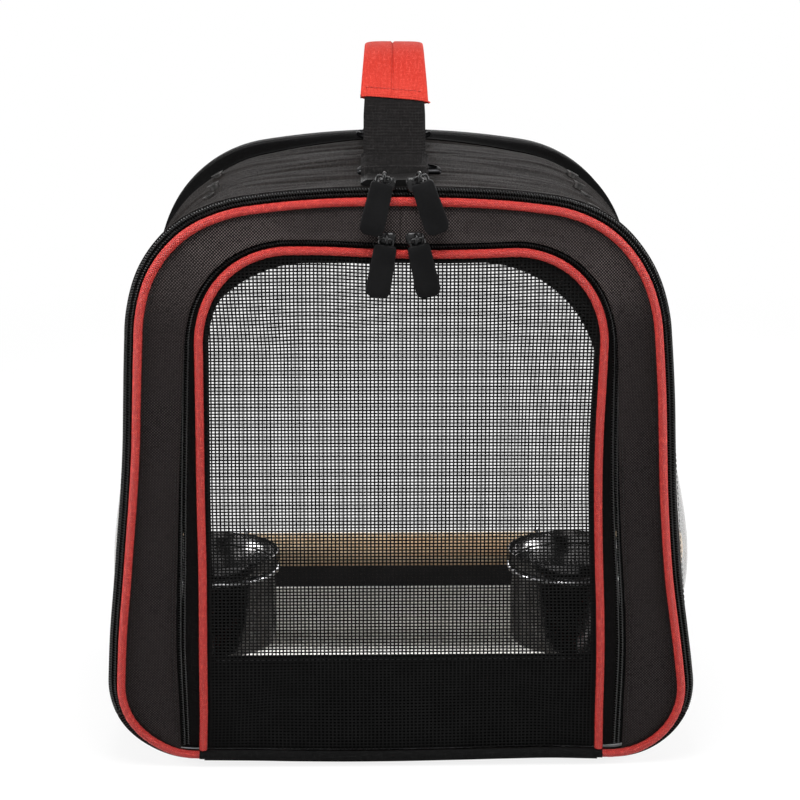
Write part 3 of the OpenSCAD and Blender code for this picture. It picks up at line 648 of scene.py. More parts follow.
def moulded(name, base, pale, rough=0.5, grain=700, depth=0.00008, coat=0.0, gloss=0.3):
    tree, shader = new_finish(name, rough)
    at = where(tree, "Object")
    rub = use_group(tree, rub_group, Vector=at, Size=0.015)
    fine = noise(tree, at, grain, 3.0)
    tone = calc(tree, "MULTIPLY", rub["Cloud"], 0.6)
    dress_shader(tree, shader, Base_Color=blend_colour(tree, tone, base, pale),
        Specular_IOR_Level=gloss, Coat_Weight=coat,
        Roughness=remap(tree, fine, 0.3, 0.7, rough - 0.08, rough + 0.12))
    bump(tree, shader, fine, depth)


# Painted shade: the cups' steel is much darker than real steel and than the tray's, standing in
# for the dark inside of the bag that it reflects.
metal("stainless", (0.16, 0.155, 0.155), (0.30, 0.295, 0.295), rough=0.16, spread=0.08)
metal("tray_steel", (0.60, 0.595, 0.575), (0.72, 0.71, 0.68), rough=0.30, metallic=0.6,
    scale=(600, 30, 600), spread=0.06)
metal("steel_wire", (0.42, 0.42, 0.43), (0.66, 0.66, 0.67), rough=0.25, scale=80)
metal("spring_wire", (0.36, 0.36, 0.37), (0.58, 0.58, 0.59), rough=0.35, scale=90)
metal("eyelet_metal", (0.020, 0.0195, 0.019), (0.095, 0.092, 0.09), rough=0.40, scale=200)
metal("dark_nickel", (0.008, 0.008, 0.0085), (0.030, 0.030, 0.031), rough=0.32, scale=200)
moulded("rubber_tab", (0.0030, 0.0030, 0.0032), (0.0062, 0.0062, 0.0065), rough=0.60, gloss=0.06)
moulded("slider_metal", (0.003, 0.003, 0.0031), (0.008, 0.008, 0.0085), rough=0.26, coat=0.05,
    gloss=0.22)
moulded("coil_thread", 0.0030, 0.008, rough=0.34, gloss=0.35)
moulded("black_plastic", (0.006, 0.006, 0.0065), (0.015, 0.015, 0.0155), rough=0.45, gloss=0.15)
moulded("board", 0.006, (0.014, 0.0135, 0.0135), rough=0.6, grain=420, depth=0.0002, gloss=0.1)
moulded("mesh", 0.0018, 0.0042, rough=0.45, grain=900, gloss=0.08)


def clear_film():
    """Thin film: nearly clear seen straight on, greyer at a grazing angle."""
    tree, shader = new_finish("clear_film", 0.12)
    at = where(tree, "Object")
    rub = use_group(tree, rub_group, Vector=at, Size=0.03)
    facing = add_node(tree, "LayerWeight", {"Blend": 0.35})["Facing"]
    grazing = remap(tree, facing, 0.45, 1.0, 0.0, 0.42)
    haze = remap(tree, rub["Cloud"], 0.0, 1.0, 0.13, 0.17)
    dress_shader(tree, shader, Base_Color=(0.20, 0.20, 0.195, 1), IOR=1.2,
        Specular_IOR_Level=0.6, Alpha=calc(tree, "ADD", grazing, haze),
        Roughness=remap(tree, rub["Fine"], 0.3, 0.7, 0.08, 0.2))
    bump(tree, shader, noise(tree, at, 40), 0.0008)


def turned_wood():
    tree, shader = new_finish("perch_wood", 0.55)
    at = where(tree, "Object")
    grain = streaks(tree, at, (6, 160, 160))
    pores = streaks(tree, at, (90, 1400, 1400))
    rub = use_group(tree, rub_group, Vector=at, Size=0.04)
    colour = blend_colour(tree, remap(tree, grain, 0.35, 0.65), (0.84, 0.55, 0.31),
        (0.95, 0.76, 0.52))
    colour = blend_colour(tree, remap(tree, pores, 0.60, 0.72, 0.0, 0.55), colour,
        (0.42, 0.24, 0.12))
    colour = blend_colour(tree, calc(tree, "MULTIPLY", rub["Cloud"], 0.3), colour,
        (0.80, 0.60, 0.40))
    dress_shader(tree, shader, Base_Color=colour,
        Roughness=remap(tree, pores, 0.3, 0.7, 0.45, 0.65))
    bump(tree, shader, pores, 0.00012)


clear_film()
turned_wood()
print("finishes:", len(FINISHES))

# %% [markdown]
# ## Handing a piece over
# A finished piece gets its finish, stands for the plain solids that it covers, and rides on
# the body that carries it.

# %% Handing a piece over


def dress(piece, finish, *more, slot=None):
    piece.data.materials.clear()
    for name in (finish, *more):
        piece.data.materials.append(FINISHES[name])


def hand_over(piece, body, finish, *nodes, more=(), slot=None, soft=True):
    """Dresses a piece and fixes it to its body; a soft one follows the front hoop's line."""
    dress(piece, finish, *more, slot=slot)
    if soft and body in ("shell", "front_panel", "mesh_door"):
        settle_cloth(piece)
    if nodes:
        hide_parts(*nodes)
    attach(piece, body)
    print(piece.name, "on", body, "-", len(piece.data.polygons), "faces")
    return piece


def hand_over_padded(piece, body, finish, node, thickness):
    """A padded cloth with a black lining."""
    make_cloth(piece, thickness, lining=1)
    return hand_over(piece, body, finish, node, more=("backing",))


# %% [markdown]
# ## Sweeping a section along an outline
# Piping, tape, binding and zip coils are all one small section carried along an outline.
# The section is given as how far outwards and how far back each point lies, and the grid's
# two directions become "along the outline" and "round the section".

# %% Sweeps


def sweep(name, line, section, y, cells, closed_line=False, open_section=False):
    """Carries section(share) -> (outwards, back) along a line, at a depth y."""
    along, around = cells
    ring = np.linspace(0, 1, 400)
    out, back = section(ring, np.zeros_like(ring))
    foot = 0.0 if line.path[:, 1].min() >= 0 else -1.0
    girth = np.hypot(np.diff(out), np.diff(back)).sum()

    def place(u, v):
        x, z, nx, nz = line.read(u)
        o, b = section(v, u * line.length)
        return x + nx * o, y + b, np.maximum(z + nz * o, foot)

    piece = lay_grid(name, along, around, place, (line.length, girth))
    if not open_section:
        merge_doubles(piece)
        if not closed_line:
            fill_ends(piece)
        face_outwards(piece)
    smooth(piece, 50)
    return piece


def cord_section(radius, strand, pitch, strands):
    """A round section whose raised strands wind both ways round it, like a woven cover."""

    def section(v, s):
        a = 2 * math.pi * v
        one = np.sin(strands * a + 2 * math.pi * s / pitch)
        two = np.sin(strands * a - 2 * math.pi * s / pitch)
        r = radius - strand + strand * np.maximum(one, two)
        return r * np.cos(a), r * np.sin(a)

    return section


def box_section(out0, out1, back0, back1):
    """A flat section with its four sides at the given distances."""
    corners = [[out0, back0], [out1, back0], [out1, back1], [out0, back1], [out0, back0]]
    return lambda v, s: read_points(v, corners)


# %% [markdown]
# ## Roof
# The roof cloth is stitched to both hoops and pulled tight between them, so it shows fine
# folds that run from side to side and sags a little in the middle. It is laid over the arch
# above the roof seams, given its folds, and thickened inwards, where its black lining shows.

# %% Roof panel
roof_ends = [p for p in arch(fine=40) if p[1] > ROOF_SEAM_Z]
seam_x = float(outline_x(np.array([ROOF_SEAM_Z]))[0])
roof_line = Line(np.vstack([[[seam_x, ROOF_SEAM_Z, 1, 0.1]], roof_ends,
    [[-seam_x, ROOF_SEAM_Z, -1, 0.1]]]))
roof_depth = SHELL_REAR_Y - SHELL_FRONT_Y
ROOF_SAG, ROOF_TUCK = 0.0022, 0.0006
# How deep the cloth dips in front of the rear hoop, at shares of the way over the roof.
REAR_DIP = ([0, 0.08, 0.2, 0.35, 0.5, 0.65, 0.8, 0.92, 1],
    [0, 0.003, 0.0048, 0.0030, 0.0018, 0.0036, 0.0070, 0.0045, 0])
DIP_START_Y, DIP_RUN, DIP_END_Y, DIP_RISE = 0.045, 0.065, 0.111, 0.011


def roof_out(u, y):
    """How far the roof cloth stands outside the even arch."""
    s = u * roof_line.length
    free = window_edge(y, SHELL_FRONT_Y, SHELL_REAR_Y, 0.12 * roof_depth)
    folds = waves(s, y, 11, 0.016, squeeze=0.13) * 0.0011
    folds += waves(s, y, 13, 0.0075, squeeze=0.10, count=9) * 0.00035
    broad = waves(s, y, 12, 0.09) * 0.0009
    sag = -ROOF_SAG * np.sin(math.pi * (y - SHELL_FRONT_Y) / roof_depth) ** 2
    dip = (np.interp(u, *REAR_DIP) * ease((y - DIP_START_Y) / DIP_RUN)
        * (1 - ease((y - DIP_END_Y) / DIP_RISE)))
    return (folds + broad + sag - ROOF_TUCK) * free * window_edge(u, 0.0, 1.0, 0.04) - dip


def over_roof(front_y, rear_y, lift=0.0):
    """A place on the roof cloth between two depths, lifted off it."""

    def place(u, v):
        x, z, nx, nz = roof_line.read(u)
        y = front_y + (rear_y - front_y) * v
        out = roof_out(u, y) + lift
        return x + nx * out, y, z + nz * out

    return place


roof = lay_grid("roof_cloth", 220, 180, over_roof(SHELL_FRONT_Y, SHELL_REAR_Y),
    (roof_line.length, roof_depth))
hand_over_padded(roof, "shell", "roof_fabric", "roof_panel", FABRIC_T - 0.0006)

# %% [markdown]
# ## Hoop sleeve
# The rear hoop's wire runs in a black sleeve on the roof's rear edge. The cloth dips in
# front of it at the shoulders, so the sleeve's face shows from the front as a black band.

# %% Rear hoop sleeve
SLEEVE_FRONT_Y, SLEEVE_REAR_Y, SLEEVE_T = 0.1085, 0.1300, 0.0006
sleeve = lay_grid("rear_hoop_sleeve", 220, 24,
    over_roof(SLEEVE_FRONT_Y, SLEEVE_REAR_Y, SLEEVE_T + 0.0001),
    (roof_line.length, SLEEVE_REAR_Y - SLEEVE_FRONT_Y))
make_cloth(sleeve, SLEEVE_T)
hand_over(sleeve, "shell", "backing", slot="black_tape")

# %% [markdown]
# ## Sides
# Each side is a frame of cloth round a big clear window. It is laid as a ring: the inner
# edge follows the window's rounded corners, the outer edge follows the seams and the two
# hoops. The cloth puffs a little between the window and the seams.

# %% Side panels
WINDOW_L, WINDOW_LOW, WINDOW_HIGH, WINDOW_R = 0.224, 0.058, 0.238, 0.018


def loop_of(half_l, low, high, r, fine=8, top_r=None):
    """A rounded rectangle in [y, z], as a line that starts at the middle of the sill."""
    t = top_r or r
    corners = [(half_l - r, low + r, r, -90), (half_l - t, high - t, t, 0),
        (t - half_l, high - t, t, 90), (r - half_l, low + r, r, 180)]
    rows = [[0, low, 0, -1]]
    for y, z, radius, start in corners:
        rows.extend(arc(y, z, radius, math.radians(start), math.radians(start + 90), fine))
    return Line(np.array(rows), closed=True)


def corner_shares(half_l, low, high):
    """Where the four corners lie along a rectangle's edge from the middle of its sill."""
    lengths = np.cumsum([0, half_l, high - low, 2 * half_l, high - low, half_l])
    return lengths / lengths[-1]


window_loop = loop_of(WINDOW_L / 2, WINDOW_LOW, WINDOW_HIGH, WINDOW_R)
panel_mid_y = (SHELL_FRONT_Y + SHELL_REAR_Y) / 2
panel_loop = loop_of(roof_depth / 2, BASE_SEAM_Z, ROOF_SEAM_Z, 0.0006, 2)
inner_shares = corner_shares(WINDOW_L / 2, WINDOW_LOW, WINDOW_HIGH)
outer_shares = corner_shares(roof_depth / 2, BASE_SEAM_Z, ROOF_SEAM_Z)
SIDE_PUFF = 0.0012


def between(inner, inner_share, outer, outer_share, v, shift=0.0):
    """The place a share v of the way from one outline to another, which may be shifted."""
    ix, iz, _, _ = inner.read(inner_share)
    ox, oz, _, _ = outer.read(outer_share)
    return ix + (ox + shift - ix) * v, iz + (oz - iz) * v


def side_panel(end, side):
    """end is the side's name; side is 1 for the right and -1 for the left."""

    def place(u, v):
        y, z = between(window_loop, u, panel_loop, np.interp(u, inner_shares, outer_shares), v,
            panel_mid_y)
        puff = (np.sin(math.pi * np.clip(v, 0, 1)) - 1) * SIDE_PUFF
        puff += waves(y, z, 21 + side, 0.05) * 0.0004 * np.sin(math.pi * v)
        x = outline_x(z) + puff * np.minimum(1, (1 - v) * 6)
        return side * x, y, z

    piece = lay_grid(f"{end}_side_cloth", 360, 14, place, (0.9, 0.028))
    merge_doubles(piece)
    uv_from_place(piece)
    hand_over_padded(piece, "shell", "heather_fabric", f"{end}_side_panel", FABRIC_T - 0.0004)


def uv_from_place(piece, first=1, second=2):
    """Lays the weave straight: the UV map is the piece's own two coordinates in metres."""
    co = places(piece)
    index = np.zeros(len(piece.data.loops), np.int32)
    piece.data.loops.foreach_get("vertex_index", index)
    uv = co[index][:, (first, second)].astype(np.float32)
    piece.data.uv_layers[0].data.foreach_set("uv", uv.ravel())


side_panel("right", 1)
side_panel("left", -1)

# %% [markdown]
# ## Clear windows
# The film is sewn flat behind the cloth and is pushed out in the middle by the perch's end,
# so it bulges most near the perch. It is laid with the same swell as the solid it covers.

# %% Clear windows
FILM_T, FILM_LAP, FILM_BEHIND = 0.0006, 0.006, 0.0003
FILM_FLAT = (0.236, 0.192)


def window_film(end, side, bulge):
    """The film swells by bulge where the perch's end pushes it out."""
    half = WINDOW_L / 2
    height = WINDOW_HIGH - WINDOW_LOW

    def place(u, v):
        y = (2 * u - 1) * (half + FILM_LAP)
        z = WINDOW_LOW - FILM_LAP + v * (height + 2 * FILM_LAP)
        t = np.clip((z - WINDOW_LOW) / height, 0, 1)
        inside = (np.abs(y) < half) & (t > 0) & (t < 1)
        swell = np.where(inside, np.cos(math.pi / 2 * y / half) ** 2
            * np.sin(math.pi * np.sqrt(t)), 0)
        base = side_x(z) - FABRIC_T / math.cos(SIDE_LEAN) - FILM_BEHIND
        ripple = waves(y, z, 31 + side, 0.06) * 0.0006 * (1 - swell) * inside
        return side * (base + (bulge + FABRIC_T) * swell - 0.0002 + ripple * 0.6), y, z

    piece = lay_grid(f"{end}_window_film", 80, 64, place, FILM_FLAT)
    make_cloth(piece, FILM_T, angle=60)
    hand_over(piece, "shell", "clear_film", f"{end}_window")


window_film("right", 1, 0.017)
window_film("left", -1, 0.0105)

# %% [markdown]
# ## Base and rear
# The base cloth wraps under the bag from seam to seam. The rear is one flat padded panel
# with a mesh window, and a black binding with a rolled edge runs all round its rim.

# %% Base and rear panels
half_base = [p for p in arch(fine=40) if p[1] < BASE_SEAM_Z - 0.0001 and p[0] > 0]
base_seam_x = float(outline_x(np.array([BASE_SEAM_Z]))[0])
right_base = np.vstack([half_base, [[base_seam_x, BASE_SEAM_Z, 1, -0.3]]])
base_line = Line(np.vstack([mirrored(right_base), right_base]))


def base_place(u, v):
    x, z, _, _ = base_line.read(u)
    return x, SHELL_FRONT_Y + roof_depth * v, z


base = lay_grid("base_cloth", 160, 60, base_place, (base_line.length, roof_depth))
hand_over_padded(base, "shell", "heather_fabric", "base_panel", FABRIC_T)

REAR_HALF_W, REAR_TOP, REAR_SILL, REAR_CORNER_R = 0.143, 0.257, 0.064, 0.085
REAR_PUFF = 0.0008


def closed_from_foot(path):
    """Closes an outline along its foot and starts it at the middle of the foot."""
    foot_z = path[0][1]
    return Line(np.vstack([[[0, foot_z, 0, -1]], path]), closed=True)


def rear_place(u, v):
    x, z = between(rear_hole, np.interp(u, even_shares, hole_shares),
        rear_edge, np.interp(u, even_shares, edge_shares), v)
    puff = np.sin(math.pi * v) * REAR_PUFF
    puff += waves(x, z, 41, 0.07) * 0.0003 * np.sin(math.pi * v)
    return x, REAR_Y - REAR_PUFF + puff, z


rear_hole = closed_from_foot(doorway(REAR_HALF_W, REAR_TOP, REAR_CORNER_R, REAR_SILL))
rear_edge = closed_from_foot(arch(fine=24))
even_shares = np.array([0, 0.14, 0.5, 0.86, 1])


def four_shares(line, low_z):
    """The shares at the foot's ends and the crown, to pair two outlines."""
    first = line.share_of(lambda p: p[0] > 0 and p[1] <= low_z)[1]
    return np.array([0, first, 0.5, 1 - first, 1])


hole_shares = four_shares(rear_hole, REAR_SILL + 0.001)
edge_shares = four_shares(rear_edge, 0.02)
rear = lay_grid("rear_cloth", 320, 16, rear_place, (1, 0.05))
merge_doubles(rear)
uv_from_place(rear, 0, 2)
hand_over_padded(rear, "shell", "heather_fabric", "rear_panel", FABRIC_T - 0.0008)

# %% Rear binding
# Over the roof's edge, round a rolled bead, and back onto the rear face.
BINDING = [[0.0001, -0.011], [0.0006, -0.0105], [0.0007, -0.002], [0.0007, 0.0008],
    [0.0002, 0.0022], [-0.0012, 0.00275], [-0.0034, 0.00275], [-0.0050, 0.0022],
    [-0.0055, 0.0010], [-0.0055, 0.0001], [-0.0001, 0.0001], [0.0001, -0.011]]
binding = sweep("rear_edge_binding", Line(arch(fine=24), closed=True),
    lambda v, s: read_points(v, BINDING), REAR_Y, (420, 22), closed_line=True)
hand_over(binding, "shell", "black_tape", "rear_binding")

# %% [markdown]
# ## Zips
# Each zip half is a coil of stiff thread sewn to a woven tape. A coil is one long spring
# pressed flat, so it is laid as a helix with a flattened turn along the outline. The tape
# lies behind it.

# %% Zip coils and tapes
COIL_T, COIL_W, COIL_PITCH = 0.0024, 0.0021, 0.0016
THREAD_R = 0.00042


def zip_coil(name, body, line, out_middle, phase=0.0):
    """A thread wound into a flattened helix along a line."""
    turns = int(line.length / COIL_PITCH)

    def place(u, v):
        x, z, nx, nz = line.read(u)
        t = 2 * math.pi * turns * u + phase
        a = 2 * math.pi * v
        wide, gap_shade_colour = COIL_W / 2 - THREAD_R, COIL_T / 2 - THREAD_R
        grow = THREAD_R * np.cos(a)
        o = out_middle + (wide + grow) * np.cos(t)
        back = (gap_shade_colour + grow) * np.sin(t)
        slide = THREAD_R * np.sin(a)
        return x + nx * o - nz * slide, FRONT_Y + COIL_T / 2 + back, z + nz * o + nx * slide

    piece = lay_grid(name, turns * 8, 4, place, (line.length * 4, 0.003))
    close_tube(piece)
    smooth(piece, 80)
    hand_over(piece, body, "coil_thread", slot="zip_tape")


def zip_tape(name, body, node, line, section, cells):
    hand_over(sweep(name, line, section, FRONT_Y, cells), body, "zip_tape", node)


SHELL_COIL_INSET, PANEL_COIL_INSET = 0.0004, 0.0028
TAPE_FRONT, TAPE_BACK = 0.0024, 0.0032
FOOT_POINTS = 9  # the arch's points at each foot that the zip leaves out
outer_line = Line(arch(fine=12)[FOOT_POINTS:-FOOT_POINTS])
zip_coil("outer_zip_shell_coil", "shell", outer_line, -SHELL_COIL_INSET - COIL_W / 2)
zip_tape("outer_zip_shell_tape", "shell", "outer_zip_shell_half", outer_line,
    box_section(-0.0025, -SHELL_COIL_INSET, 0.0025, 0.0043), (300, 12))
zip_coil("outer_zip_panel_coil", "front_panel", outer_line, -PANEL_COIL_INSET - COIL_W / 2,
    math.pi)
zip_tape("outer_zip_panel_tape", "front_panel", "outer_zip_panel_half", outer_line,
    box_section(-0.0105, -PANEL_COIL_INSET, TAPE_FRONT, TAPE_BACK), (300, 12))

DOOR_HALF_W, DOOR_TOP, DOOR_R, DOOR_BASE = 0.1188, 0.3113, 0.055, 0.0076
DOOR_COIL_SIDE = 0.011
# How far the inner zip runs outside the door's piping at each height.
ZIP_HEIGHTS = [0.0076, 0.030, 0.075, 0.110, 0.178, 0.240, 0.267, 0.295, 0.3113]
ZIP_OFFSETS = [0.0105, 0.0112, 0.0122, 0.0118, 0.0098, 0.0078, 0.0066, 0.0058, 0.0056]


def beside_door(extra=np.zeros_like, foot=DOOR_BASE):
    """A line beside the door's piping: near it at the top, further from it lower down."""
    x, z, nx, nz = Line(doorway(DOOR_HALF_W, DOOR_TOP, DOOR_R, foot)).read(np.linspace(0, 1, 500))
    off = np.interp(z, ZIP_HEIGHTS, ZIP_OFFSETS) + extra(z)
    return Line(np.stack([x + nx * off, z + nz * off, nx, nz], 1))


inner_line = beside_door(foot=DOOR_BASE + PIPING_R)
GAP = 0.00015
OPENING = 0.00345
zip_coil("inner_zip_panel_coil", "front_panel", inner_line, GAP + COIL_W / 2)
zip_tape("inner_zip_panel_tape", "front_panel", "inner_zip_panel_half", inner_line,
    box_section(GAP, OPENING, TAPE_FRONT, TAPE_BACK), (260, 12))
zip_coil("inner_zip_door_coil", "mesh_door", inner_line, -GAP - COIL_W / 2, math.pi)

# %% [markdown]
# ## Front panel
# The padded band of heather cloth lies between the outer piping and the inner zip. It is
# laid from the door's opening out to the piping, crowned a little between its two seams,
# with the dark join seam at the top where the two ends of the band meet.

# %% Front panel
PANEL_EDGE, PANEL_BASE = 0.01075, 0.0070
# How far the band's seams lie behind the front, how far it rises where it laps over the
# zip, the most it may stand out, and its join's depth and half width.
BAND_SUNK, BAND_OVER, BAND_PROUD = 0.0010, 0.0014, 0.0012
JOIN_DEPTH, JOIN_HALF_W = 0.0009, 0.0009
# How far the band's inner edge stays off the zip at each height.
FLAP_HEIGHTS, FLAP_OPENINGS = [0.10, 0.18, 0.24, 0.27], [OPENING, 0.0024, 0.0010, 0.0004]
panel_hole = beside_door(lambda z: np.interp(z, FLAP_HEIGHTS, FLAP_OPENINGS), 0.0082)
PANEL_LAP = 0.0012
panel_arch = arch(PANEL_EDGE - PANEL_LAP, PANEL_BASE - PANEL_LAP, fine=24)
hole_x = DOOR_HALF_W + DOOR_COIL_SIDE + OPENING
panel_edge = Line(np.array([p for p in panel_arch if abs(p[0]) >= hole_x or p[1] > 0.2]))


def band_pairs(line):
    """Shares at the foot, the shoulders and the crown, to pair two outlines."""
    right = line.share_of(lambda p: p[0] > 0 and p[1] < 0.06)[1]
    shoulder = line.share_of(lambda p: p[0] > 0 and p[1] < 0.285)[1]
    return np.array([0, right, shoulder, 0.5, 1 - shoulder, 1 - right, 1])


def front_place(u, v):
    hole_share = np.interp(u, band_even, hole_pairs)
    x, z = between(panel_hole, hole_share, panel_edge, np.interp(u, band_even, edge_pairs), v)
    hole_z = panel_hole.read(hole_share)[1]
    crown = np.sin(math.pi * v) ** 0.6
    uneven = waves(x, z, 51, 0.045) * 0.0005 + waves(x, z, 52, 0.018) * 0.00015
    over = np.interp(hole_z, [0.14, 0.25], [0, 1]) * (1 - ease(v / 0.3))
    y = FRONT_Y + BAND_SUNK - (BAND_SUNK + uneven) * crown - BAND_OVER * over
    y = y + JOIN_DEPTH * np.exp(-(x / JOIN_HALF_W) ** 2) * (z > 0.3)
    return x, np.maximum(y, FRONT_Y - BAND_PROUD), z


hole_pairs, edge_pairs = band_pairs(panel_hole), band_pairs(panel_edge)
band_even = (hole_pairs + edge_pairs) / 2
front = lay_grid("front_band_cloth", 560, 24, front_place, (1, 0.03))
merge_doubles(front)
uv_from_place(front, 0, 2)
hand_over_padded(front, "front_panel", "heather_fabric", "front_panel", FABRIC_T - 0.0012)

# %% [markdown]
# ## Piping
# The red piping is a cord in a woven cover, sewn in by a thin flange. The cover's yarns
# wind both ways round it, so the section is given raised strands that cross.

# %% Piping
CORD_R, STRAND_T, STRAND_PITCH, STRANDS = 0.00245, 0.00014, 0.0052, 6
PIPING_INSET, PIPING_BASE = 0.008, 0.00425


def piping(name, body, node, line, along, closed=False):
    section = cord_section(CORD_R, STRAND_T, STRAND_PITCH, STRANDS)
    piece = sweep(name, line, section, PIPING_Y, (along, 30), closed_line=closed)
    hand_over(piece, body, "red_piping", node)


piping("outer_piping_cord", "front_panel", "outer_piping",
    Line(arch(PIPING_INSET, PIPING_BASE, fine=32), closed=True), 2400, closed=True)
piping("inner_piping_cord", "mesh_door", "inner_piping",
    Line(doorway(DOOR_HALF_W, DOOR_TOP, DOOR_R, DOOR_BASE)), 1900)

# %% [markdown]
# ## Foot shade sheet
# Along the foot the piping turns under the bag. A black sheet wrapped over its front and top
# is painted shade for the shadow it lies in there, so only its underside is red.

# %% Foot shade sheet
FOOT_HALF_W = 0.121
foot_line = Line(np.array([[FOOT_HALF_W, PIPING_BASE, 0, -1], [-FOOT_HALF_W, PIPING_BASE, 0, -1]]))


def foot_section(v, s):
    """Out round the piping at one radius and back at a smaller one."""
    a = np.radians(np.interp(v, [0, 0.48, 0.52, 1], [-215, -28, -28, -215]))
    r = np.interp(v, [0, 0.48, 0.52, 1], [0.00285, 0.00285, 0.00255, 0.00255])
    return r * np.cos(a), r * np.sin(a)


# A black sheet over the foot's piping, standing in as painted shade.
foot_shade_sheet = sweep("front_foot_shade_sheet", foot_line, foot_section, PIPING_Y, (120, 40),
    open_section=True)
merge_doubles(foot_shade_sheet)
face_outwards(foot_shade_sheet)
hand_over(foot_shade_sheet, "front_panel", "black_tape")

# %% [markdown]
# ## Foot hinge cloth
# The panel hangs on the base by a strip of cloth under the piping.

# %% Foot hinge cloth
# Its section in [y, z], from the base cloth to under the piping.
HINGE_PATH = [[-0.1352, 0.0046], [-0.1362, 0.0030], [-0.1369, 0.0010], [-0.1390, 0.0007],
    [-0.1412, 0.0008]]
HINGE_W = 0.236


def hinge_place(u, v):
    return ((u - 0.5) * HINGE_W, *read_points(v, HINGE_PATH))


hinge_cloth = lay_grid("front_foot_hinge_cloth", 80, 20, hinge_place, (HINGE_W, 0.008))
thicken(hinge_cloth, 0.0004)
face_outwards(hinge_cloth)
dress(hinge_cloth, "black_tape")
settle_cloth(hinge_cloth)
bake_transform(hinge_cloth)

# %% [markdown]
# ## Mesh
# The mesh is plain weave of coated threads with open squares between them. One thread is
# laid with its over-and-under wave, copied across by an array, and cut off along the edge
# of the opening, where the piping or the cloth hides the cut. The second set of threads
# lies half a wave out of step, so the two sets really pass over and under each other.

# %% Mesh threads
MESH_ACROSS, MESH_UP = 0.00231, 0.00197
THREAD_T = 0.00050
DOOR_THREAD, REAR_THREAD = 0.00090, 0.00022
THREAD_WAVE = 0.42  # the wave's height, as a share of the thread's thickness


def thread_set(name, x_range, z_range, y, upright, keep, thread_w):
    """One direction of a woven mesh, cut to where keep(x, z) is true."""
    (x0, x1), (z0, z1) = x_range, z_range
    step = (MESH_ACROSS, MESH_UP) if upright else (MESH_UP, MESH_ACROSS)
    run = (z1 - z0) if upright else (x1 - x0)
    crossings = int(run / step[1])
    span = (x1 - x0) if upright else (z1 - z0)
    pair = (2 * step[0], 0, 0) if upright else (0, 0, 2 * step[0])
    made = []
    for phase in (0, 1):

        def place(u, v):
            along = u * crossings * step[1]
            wave = np.cos(math.pi * (u * crossings + phase + (0 if upright else 1)))
            ring = 2 * math.pi * v
            side = thread_w / 2 * np.cos(ring)
            back = THREAD_T / 2 * np.sin(ring) + wave * THREAD_T * THREAD_WAVE
            start = phase * step[0]
            if upright:
                return x0 + start + side, y + back, z0 + along
            return x0 + along, y + back, z0 + start + side

        thread = lay_grid(f"{name}_{phase}", crossings, 4, place, (run, 0.003))
        merge_doubles(thread)
        repeat(thread, int(span / step[0] / 2) + 1, pair)
        made.append(thread)
    let_go()
    for thread in made:
        thread.select_set(True)
    bpy.context.view_layer.objects.active = made[0]
    bpy.ops.object.join()
    piece = added(name)
    co = places(piece)
    outside = ~keep(co[:, 0], co[:, 2])
    pick(piece)
    bpy.ops.object.mode_set(mode="EDIT")
    bpy.ops.mesh.select_mode(type="VERT")
    bpy.ops.object.mode_set(mode="OBJECT")
    for parts in (piece.data.polygons, piece.data.edges):
        parts.foreach_set("select", np.zeros(len(parts), bool))
    piece.data.vertices.foreach_set("select", outside)
    bpy.ops.object.mode_set(mode="EDIT")
    bpy.ops.mesh.delete(type="VERT")
    bpy.ops.object.mode_set(mode="OBJECT")
    fill_ends(piece)
    face_outwards(piece)
    smooth(piece, 60)
    return piece


def inside_doorway(half_w, top, r, base):
    def keep(x, z):
        corner = np.hypot(np.maximum(np.abs(x) - (half_w - r), 0), np.maximum(z - (top - r), 0))
        return (np.abs(x) <= half_w) & (z >= base) & (z <= top) & (corner <= r)

    return keep


REAR_MESH_LAP = 0.004
# Each mesh's opening, body, extent across and up, depth, thread width and edge.
MESHES = [
    ("door", "mesh_door", (-0.1192, 0.1192), (DOOR_BASE, 0.3118), -0.1380, DOOR_THREAD,
        inside_doorway(DOOR_HALF_W, DOOR_TOP, DOOR_R, DOOR_BASE)),
    ("rear", "shell", (-0.1470, 0.1470), (0.0600, 0.2610), 0.1366, REAR_THREAD,
        inside_doorway(REAR_HALF_W + REAR_MESH_LAP, REAR_TOP + REAR_MESH_LAP,
            REAR_CORNER_R + REAR_MESH_LAP, REAR_SILL - REAR_MESH_LAP)),
]
for opening, body, x_range, z_range, y, thread_w, inside in MESHES:
    for upright, way in ((True, "up"), (False, "across")):
        piece = thread_set(f"{opening}_mesh_threads_{way}", x_range, z_range, y, upright,
            inside, thread_w)
        hand_over(piece, body, "mesh", *([f"{opening}_mesh"] if upright else []))

# %% [markdown]
# ## Door tape and lower backing
# Behind the mesh's edge lies the zip's wide tape, and the lowest part of the door is backed
# with black cloth, so that seed husks stay in.

# %% Door tape and lower backing
DOOR_TAPE_Y, BACKING_Y, BACKING_T = -0.1376, -0.13735, 0.0008
DOOR_MIDDLE = Vector((0, 0, 0.1))


def door_tape_place(u, v):
    ox, oz, nx, nz = inner_line.read(u)
    ix, iz, _, _ = door_tape_hole.read(u)
    x = ix + (ox - nx * GAP - ix) * v
    z = iz + (oz - nz * GAP - iz) * v
    return x, np.full_like(u, DOOR_TAPE_Y), np.maximum(z, DOOR_BASE)


door_tape_hole = Line(doorway(DOOR_HALF_W - 2 * PIPING_R, DOOR_TOP - 2 * PIPING_R,
    DOOR_R - 2 * PIPING_R, DOOR_BASE))
door_tape = lay_grid("inner_zip_door_tape", 300, 10, door_tape_place, (0.85, 0.016))
make_cloth(door_tape, BACKING_T, middle=DOOR_MIDDLE)
hand_over(door_tape, "mesh_door", "zip_tape", "inner_zip_door_half")

KICK_TOP = 0.068
KICK_FLAT = (0.2266, 0.0604)


def kick_place(u, v):
    x = (2 * u - 1) * (DOOR_HALF_W - 2 * PIPING_R)
    z = DOOR_BASE + v * (KICK_TOP - DOOR_BASE)
    ripple = waves(x, z, 61, 0.05) * 0.0002
    return x, BACKING_Y + ripple * window_edge(u, 0, 1, 0.05), z


